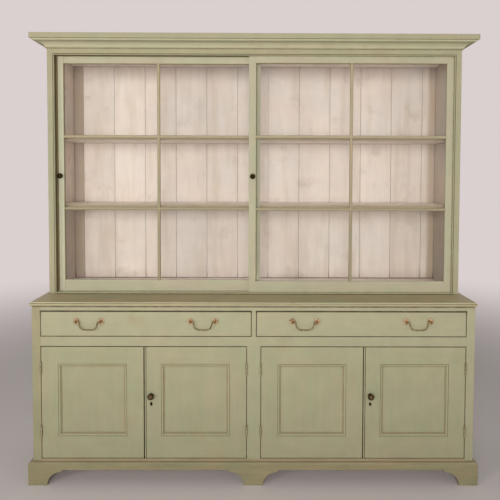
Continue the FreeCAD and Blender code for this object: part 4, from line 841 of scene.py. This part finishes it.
# %% The glass
glass, tree = new_material("old_drawn_window_glass")
place = add(tree, "TexCoord").outputs["Object"]
waves_at = add(tree, "Mapping", {"Vector": place, "Scale": (9.0, 9.0, 4.0)})
waves = add(tree, "TexNoise", {"Vector": waves_at, "Scale": 1.0, "Detail": 1.0})
film = add(tree, "TexNoise", {"Vector": place, "Scale": 14.0, "Detail": 5.0})
smear = add(tree, "MapRange", {0: film, 1: 0.4, 2: 0.8, 3: 0.01, 4: 0.05})
bump = add(tree, "Bump", {"Height": waves, "Distance": 0.0006, "Strength": 0.4})
clear = add(tree, "BsdfPrincipled", {
    "Base Color": "#fafbf8", "IOR": 1.5, "Roughness": smear, "Normal": bump, "Transmission Weight": 1.0})
open_film = add(tree, "BsdfTransparent", {"Color": "#fafbf9"})
to_lamp = add(tree, "LightPath").outputs["Is Shadow Ray"]
both = add(tree, "MixShader", {0: to_lamp, 1: clear, 2: open_film})
add(tree, "OutputMaterial", {"Surface": both})
print("nodes in the glass:", len(glass.node_tree.nodes))

# %% [markdown]
# ## Brass, bronze and iron
# Cast brass is yellow where fingers polish it and olive brown where they do not. Its roughness
# wanders with the tarnish. The round plates behind the handles were lacquered, and that has turned
# coppery. The butt hinges are cast iron, painted over with the woodwork and chipped back to brown.

# %% The metals
def tarnished(name, bright, dull, share, rough_low, rough_high, metallic=1.0, plate=None,
              steps=(face_y - 0.0045, face_y - 0.003)):
    """A cast metal with tarnish in its hollows and in patches that cover about a share of it. Where
    it is painted over, metallic is 0. plate is the colour of the parts close to the wood, where
    plates and roses lie, and steps are the two depths along Y between which bright gives way to it."""
    material, tree = new_material(name)
    place = add(tree, "TexCoord").outputs["Object"]
    patch = add(tree, "TexNoise", {"Vector": place, "Scale": 130.0, "Detail": 5.0, "Roughness": 0.6})
    pits = add(tree, "TexNoise", {"Vector": place, "Scale": 900.0, "Detail": 2.0})
    hollow = add(tree, "AmbientOcclusion", {"Distance": 0.006}, samples=6)
    deep = add(tree, "MapRange", {0: hollow.outputs["AO"], 1: 0.9, 2: 0.35, 3: 0.0, 4: 0.8})
    dark = add(tree, "MapRange", {0: patch, 1: 0.62 - share * 0.4, 2: 0.72 - share * 0.2})
    dark = add(tree, "Math", {0: dark, 1: deep}, operation="MAXIMUM")
    metal = bright
    if plate:
        depth = add(tree, "SeparateXYZ", {0: place}).outputs["Y"]
        near = add(tree, "MapRange", {0: depth, 1: steps[0], 2: steps[1]})
        metal = add(tree, "Mix", {0: near, 6: bright, 7: plate}, data_type="RGBA")
    colour = add(tree, "Mix", {0: dark, 6: metal, 7: dull}, data_type="RGBA")
    rough = add(tree, "MapRange", {0: dark, 3: rough_low, 4: rough_high})
    bump = add(tree, "Bump", {"Height": pits, "Distance": 0.0001, "Strength": 0.4})
    shader = add(tree, "BsdfPrincipled", {
        "Base Color": colour, "Metallic": metallic, "Roughness": rough, "Normal": bump})
    add(tree, "OutputMaterial", {"Surface": shader})
    return material


knob_y = lowest["door_2_knob"][Y]
bail_brass = tarnished("tarnished_cast_brass", "#bdb083", "#80764f", 0.5, 0.3, 0.55)
plate_brass = tarnished("lacquered_brass_roses", "#b48a5c", "#76492a", 0.3, 0.3, 0.5, plate="#ecd2a8")
# Each knob is bright at its very front and dark on its sides: partly polish and tarnish, partly a painted
# highlight and painted shade.
knob_bronze_polish_and_highlight = tarnished("rubbed_bronze_with_painted_highlight", "#a18a62", "#40331b", 0.55, 0.2, 0.45, plate="#4d3f26",
                        steps=(knob_y + 0.001, knob_y + 0.005))
lock_steel = tarnished("oiled_lock_steel", "#77706a", "#43392e", 0.5, 0.35, 0.6, plate="#5a4a33")
hinge_iron = tarnished("overpainted_hinge_iron", "#9a9375", "#6e5d3f", 0.5, 0.5, 0.65, metallic=0.0)
print("nodes in the cast brass:", len(bail_brass.node_tree.nodes))

# %% [markdown]
# ## Dress the metal and the glass
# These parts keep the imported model's own meshes, because their shapes are right and they have no
# grain. Only the materials in their slots are changed.

# %% Give every other part its finish
finish_of_slot = {"brass": bail_brass, "iron": lock_steel, "painted_iron": hinge_iron, "glass": glass}
bare_nodes = [name for name in frame["nodes"] if name not in board_count]
for name in bare_nodes:
    finish = finish_of_slot[slot_of_node[name]]
    if "knob" in name:
        finish = knob_bronze_polish_and_highlight
    if "posts" in name:
        finish = plate_brass
    for slot in frame["nodes"][name].material_slots:
        slot.material = finish
print("metal and glass parts:", len(bare_nodes))

# %% [markdown]
# ## Screws
# Each leaf of a butt hinge is let into the wood and held by three countersunk screws, and each lock
# case by four. They show only when a door stands open, but then they are what the eye looks for. A
# head is a low dome cut off round, with one sunk slot. Heads turn as their makers left them, so each
# slot points its own way.

# %% Slotted screw heads
dome, slot_half, slot_depth, proud = 0.07, 0.18, 0.00045, 0.00006
screw_iron = tarnished("rusty_screw_iron", "#7d7466", "#5a3f2a", 0.6, 0.4, 0.6)


def screw_heads(name, places, way, radius, body):
    """Slotted screw heads facing way (+1 or -1) along an axis, X or Y. A head is a grid of u across
    the slot and v along it. Its point is (u, v times the square root of 1 - u squared) times the
    radius, and its height is 7% of the radius times 1 - r squared, sunk by 0.45 mm in the slot."""
    u = np.array([-0.98, -0.8, -0.5, -0.19, -0.17, 0.0, 0.17, 0.19, 0.5, 0.8, 0.98])
    v = np.linspace(-1, 1, 9)
    rows, columns = len(u), len(v)
    u, v = np.meshgrid(u, v, indexing="ij")
    flat = np.stack([u, v * np.sqrt(1 - u**2)], -1).reshape(-1, 2)
    lift = radius * dome * (1 - (flat**2).sum(1)) - slot_depth * (np.abs(flat[:, 0]) < slot_half)
    turn = chance.uniform(0, np.pi, len(places))
    c, s = np.cos(turn)[:, None], np.sin(turn)[:, None]
    across = radius * (flat[:, 0] * c - flat[:, 1] * s)
    rise = radius * (flat[:, 0] * s + flat[:, 1] * c)
    axis, sign = way
    places = np.array(places)
    points = np.zeros((len(places), len(flat), 3))
    points[:, :, axis] = places[:, None, axis] + sign * (proud + lift)
    points[:, :, 1 - axis] = places[:, None, 1 - axis] + across * sign * (1 if axis == X else -1)
    points[:, :, Z] = places[:, None, Z] + rise
    i, j = np.meshgrid(np.arange(rows - 1), np.arange(columns - 1), indexing="ij")
    k = i * columns + j
    one = np.stack([k, k + columns, k + columns + 1, k + 1], -1).reshape(-1, 4)
    faces = (one[None] + np.arange(len(places))[:, None, None] * len(flat)).reshape(-1, 4)
    piece = new_piece(name, points.reshape(-1, 3), faces, [screw_iron], np.radians(35))
    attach(piece, body)
    return len(places)


# %% Screws of the hinges and locks
hinge_radius, lock_radius, hinge_half = 0.0031, 0.0026, 0.03
leaf_y = highest["door_1_hinges"][Y] - 0.007
hinge_z = (lowest["door_1_hinges"][Z] + hinge_half, highest["door_1_hinges"][Z] - hinge_half)
holes = [(leaf_y + shift, z + step) for z in hinge_z
         for shift, step in ((0.003, -0.02), (-0.003, 0), (0.003, 0.02))]
heads = 0
for number in (1, 2, 3, 4):
    door = f"door_{number}"
    way = 1 if number in (1, 3) else -1
    edge = (lowest if way == 1 else highest)[door + "_frame"][X]
    moving = [(edge, y, z) for y, z in holes]
    fixed = [(edge - way * door_gap, y, z) for y, z in holes]
    heads += screw_heads(door + "_hinge_screws", moving, (X, -way), hinge_radius, door)
    heads += screw_heads(door + "_stile_screws", fixed, (X, way), hinge_radius, "carcase")
for door in ("door_2", "door_4"):
    low, high = lowest[door + "_lock"], highest[door + "_lock"]
    places = [(low[X] + x, high[Y], (low[Z] + high[Z]) / 2 + z)
              for x in (0.006, 0.042) for z in (-0.024, 0.024)]
    heads += screw_heads(door + "_lock_screws", places, (Y, 1), lock_radius, door)
print("screw heads:", heads)

# %% [markdown]
# ## Floor and background
# A plain pale floor that fades into the background beyond 2 m, and an even sky. The background is
# seen by the camera, by glass and by polished metal, and gives no more light than the sky does.

# %% The floor
scene = bpy.context.scene
scene.view_settings.view_transform = "Standard"
backdrop = hex_colour("#dad0d0")

r = np.array([0.0, 2.2, 7.0, 26.0])
spokes = 64
a = np.linspace(0, 2 * np.pi, spokes + 1)[:-1]
ring = np.stack([np.outer(r, np.cos(a)), np.outer(r, np.sin(a)), np.zeros((len(r), spokes))], -1)
i, j = np.meshgrid(np.arange(len(r) - 1), np.arange(spokes), indexing="ij")
k = (j + 1) % spokes
quads = np.stack([i * spokes + j, (i + 1) * spokes + j, (i + 1) * spokes + k, i * spokes + k], -1)
floor_finish, tree = new_material("pale_floor")
floor = new_piece("floor", ring.reshape(-1, 3), quads.reshape(-1, 4), [floor_finish])
print("floor reaches", r[-1], "m")

# %% The finish of the floor, and the sky
place = add(tree, "TexCoord").outputs["Object"]
reach = add(tree, "VectorMath", {0: place}, operation="LENGTH").outputs["Value"]
away = add(tree, "MapRange", {0: reach, 1: 2.0, 2: 6.0}, interpolation_type="SMOOTHSTEP")
path = add(tree, "LightPath")
seen = add(tree, "Math", {0: path.outputs["Is Camera Ray"], 1: path.outputs["Is Transmission Ray"]},
           operation="MAXIMUM")
seen = add(tree, "Math", {0: seen, 1: away}, operation="MULTIPLY")
matt = add(tree, "BsdfDiffuse", {"Color": "#d6cecb"})
fade = add(tree, "Emission", {"Color": backdrop, "Strength": 1.0})
both = add(tree, "MixShader", {0: seen, 1: matt, 2: fade})
add(tree, "OutputMaterial", {"Surface": both})

world = bpy.data.worlds.new("room")
scene.world = world
world.use_nodes = True
tree = world.node_tree
tree.nodes.clear()
path = add(tree, "LightPath")
seen = path.outputs["Is Camera Ray"]
for ray in ("Is Glossy Ray", "Is Transmission Ray"):
    seen = add(tree, "Math", {0: seen, 1: path.outputs[ray]}, operation="MAXIMUM")
sky = add(tree, "Background", {"Color": "#f4f2f0", "Strength": 0.38})
view = add(tree, "Background", {"Color": backdrop, "Strength": 1.0})
both = add(tree, "MixShader", {0: seen, 1: sky, 2: view})
add(tree, "OutputWorld", {"Surface": both})
print("background:", [round(value, 3) for value in backdrop[:3]])

# %% [markdown]
# ## Lamps
# One big soft lamp in front, a smaller one on the left with half its power, and a weak broad one on
# the right. Together with the sky they light a face that looks forward to the level at which its
# colour renders about as it is written. The two strong lamps would show in the panes as white discs,
# so glossy rays pass them by, and the weak one on the right gives the brass its glints.

# %% Hang the lamps
def looking(position, target):
    """The matrix of a lamp at one point that looks at another: its third column points back from
    the target, its first is level, and its second completes the right-hand set."""
    back = np.subtract(position, target)
    back = back / np.linalg.norm(back)
    level = np.cross((0, 0, 1), back)
    level /= np.linalg.norm(level)
    matrix = np.eye(4)
    matrix[:3, :] = np.stack([level, np.cross(back, level), back, position], -1)
    return Matrix(matrix.tolist())


lamps = [("window_front", (-0.4, -5.4, 1.85), (0, 0, 1.2), 2.6, 170.0),
         ("window_left", (-4.2, -4.6, 2.3), (0, 0, 1.4), 1.6, 78.0),
         ("window_right", (4.3, -4.5, 2.1), (0, 0, 1.4), 3.4, 20.0)]
for name, position, target, size, power in lamps:
    light = bpy.data.lights.new(name, "AREA")
    light.shape, light.size, light.energy = "DISK", size, power
    lamp = bpy.data.objects.new(name, light)
    lamp.matrix_world = looking(position, target)
    lamp.visible_glossy = lamp.visible_transmission = name == "window_right"
    scene.collection.objects.link(lamp)
print("lamps:", [(name, power) for name, *_, power in lamps])

# %% [markdown]
# ## The camera
# The lines of the front were measured in the photograph and a camera was fitted to them: a lens of
# about 37 mm on a 36 mm sensor, 2.48 m in front of the worktop and 1.54 m up. It looks almost
# straight at the front, and the picture is a crop that lies low and a little to the left of the
# lens axis, which is what shift says.

# %% Set the camera
eye = (0.0156, -2.7337, 1.5367)
yaw, pitch, roll = np.radians([0.263, -2.026, 0.179])
forward = np.array([np.sin(yaw) * np.cos(pitch), np.cos(yaw) * np.cos(pitch), np.sin(pitch)])
level = np.cross(forward, (0, 0, 1))
level /= np.linalg.norm(level)
upright = np.cross(level, forward)
right = np.cos(roll) * level + np.sin(roll) * upright
over = np.cos(roll) * upright - np.sin(roll) * level
place = np.eye(4)
place[:3, :] = np.stack([right, over, -forward, eye], -1)
lens = bpy.data.cameras.new("camera")
lens.lens, lens.sensor_width, lens.sensor_fit = 36.773, 36.0, "HORIZONTAL"
lens.shift_x, lens.shift_y = -0.0195, -0.1128
lens.clip_end = 60.0
camera = bpy.data.objects.new("camera", lens)
camera.matrix_world = Matrix(place.tolist())
scene.collection.objects.link(camera)
scene.camera = camera
print("camera at", eye)
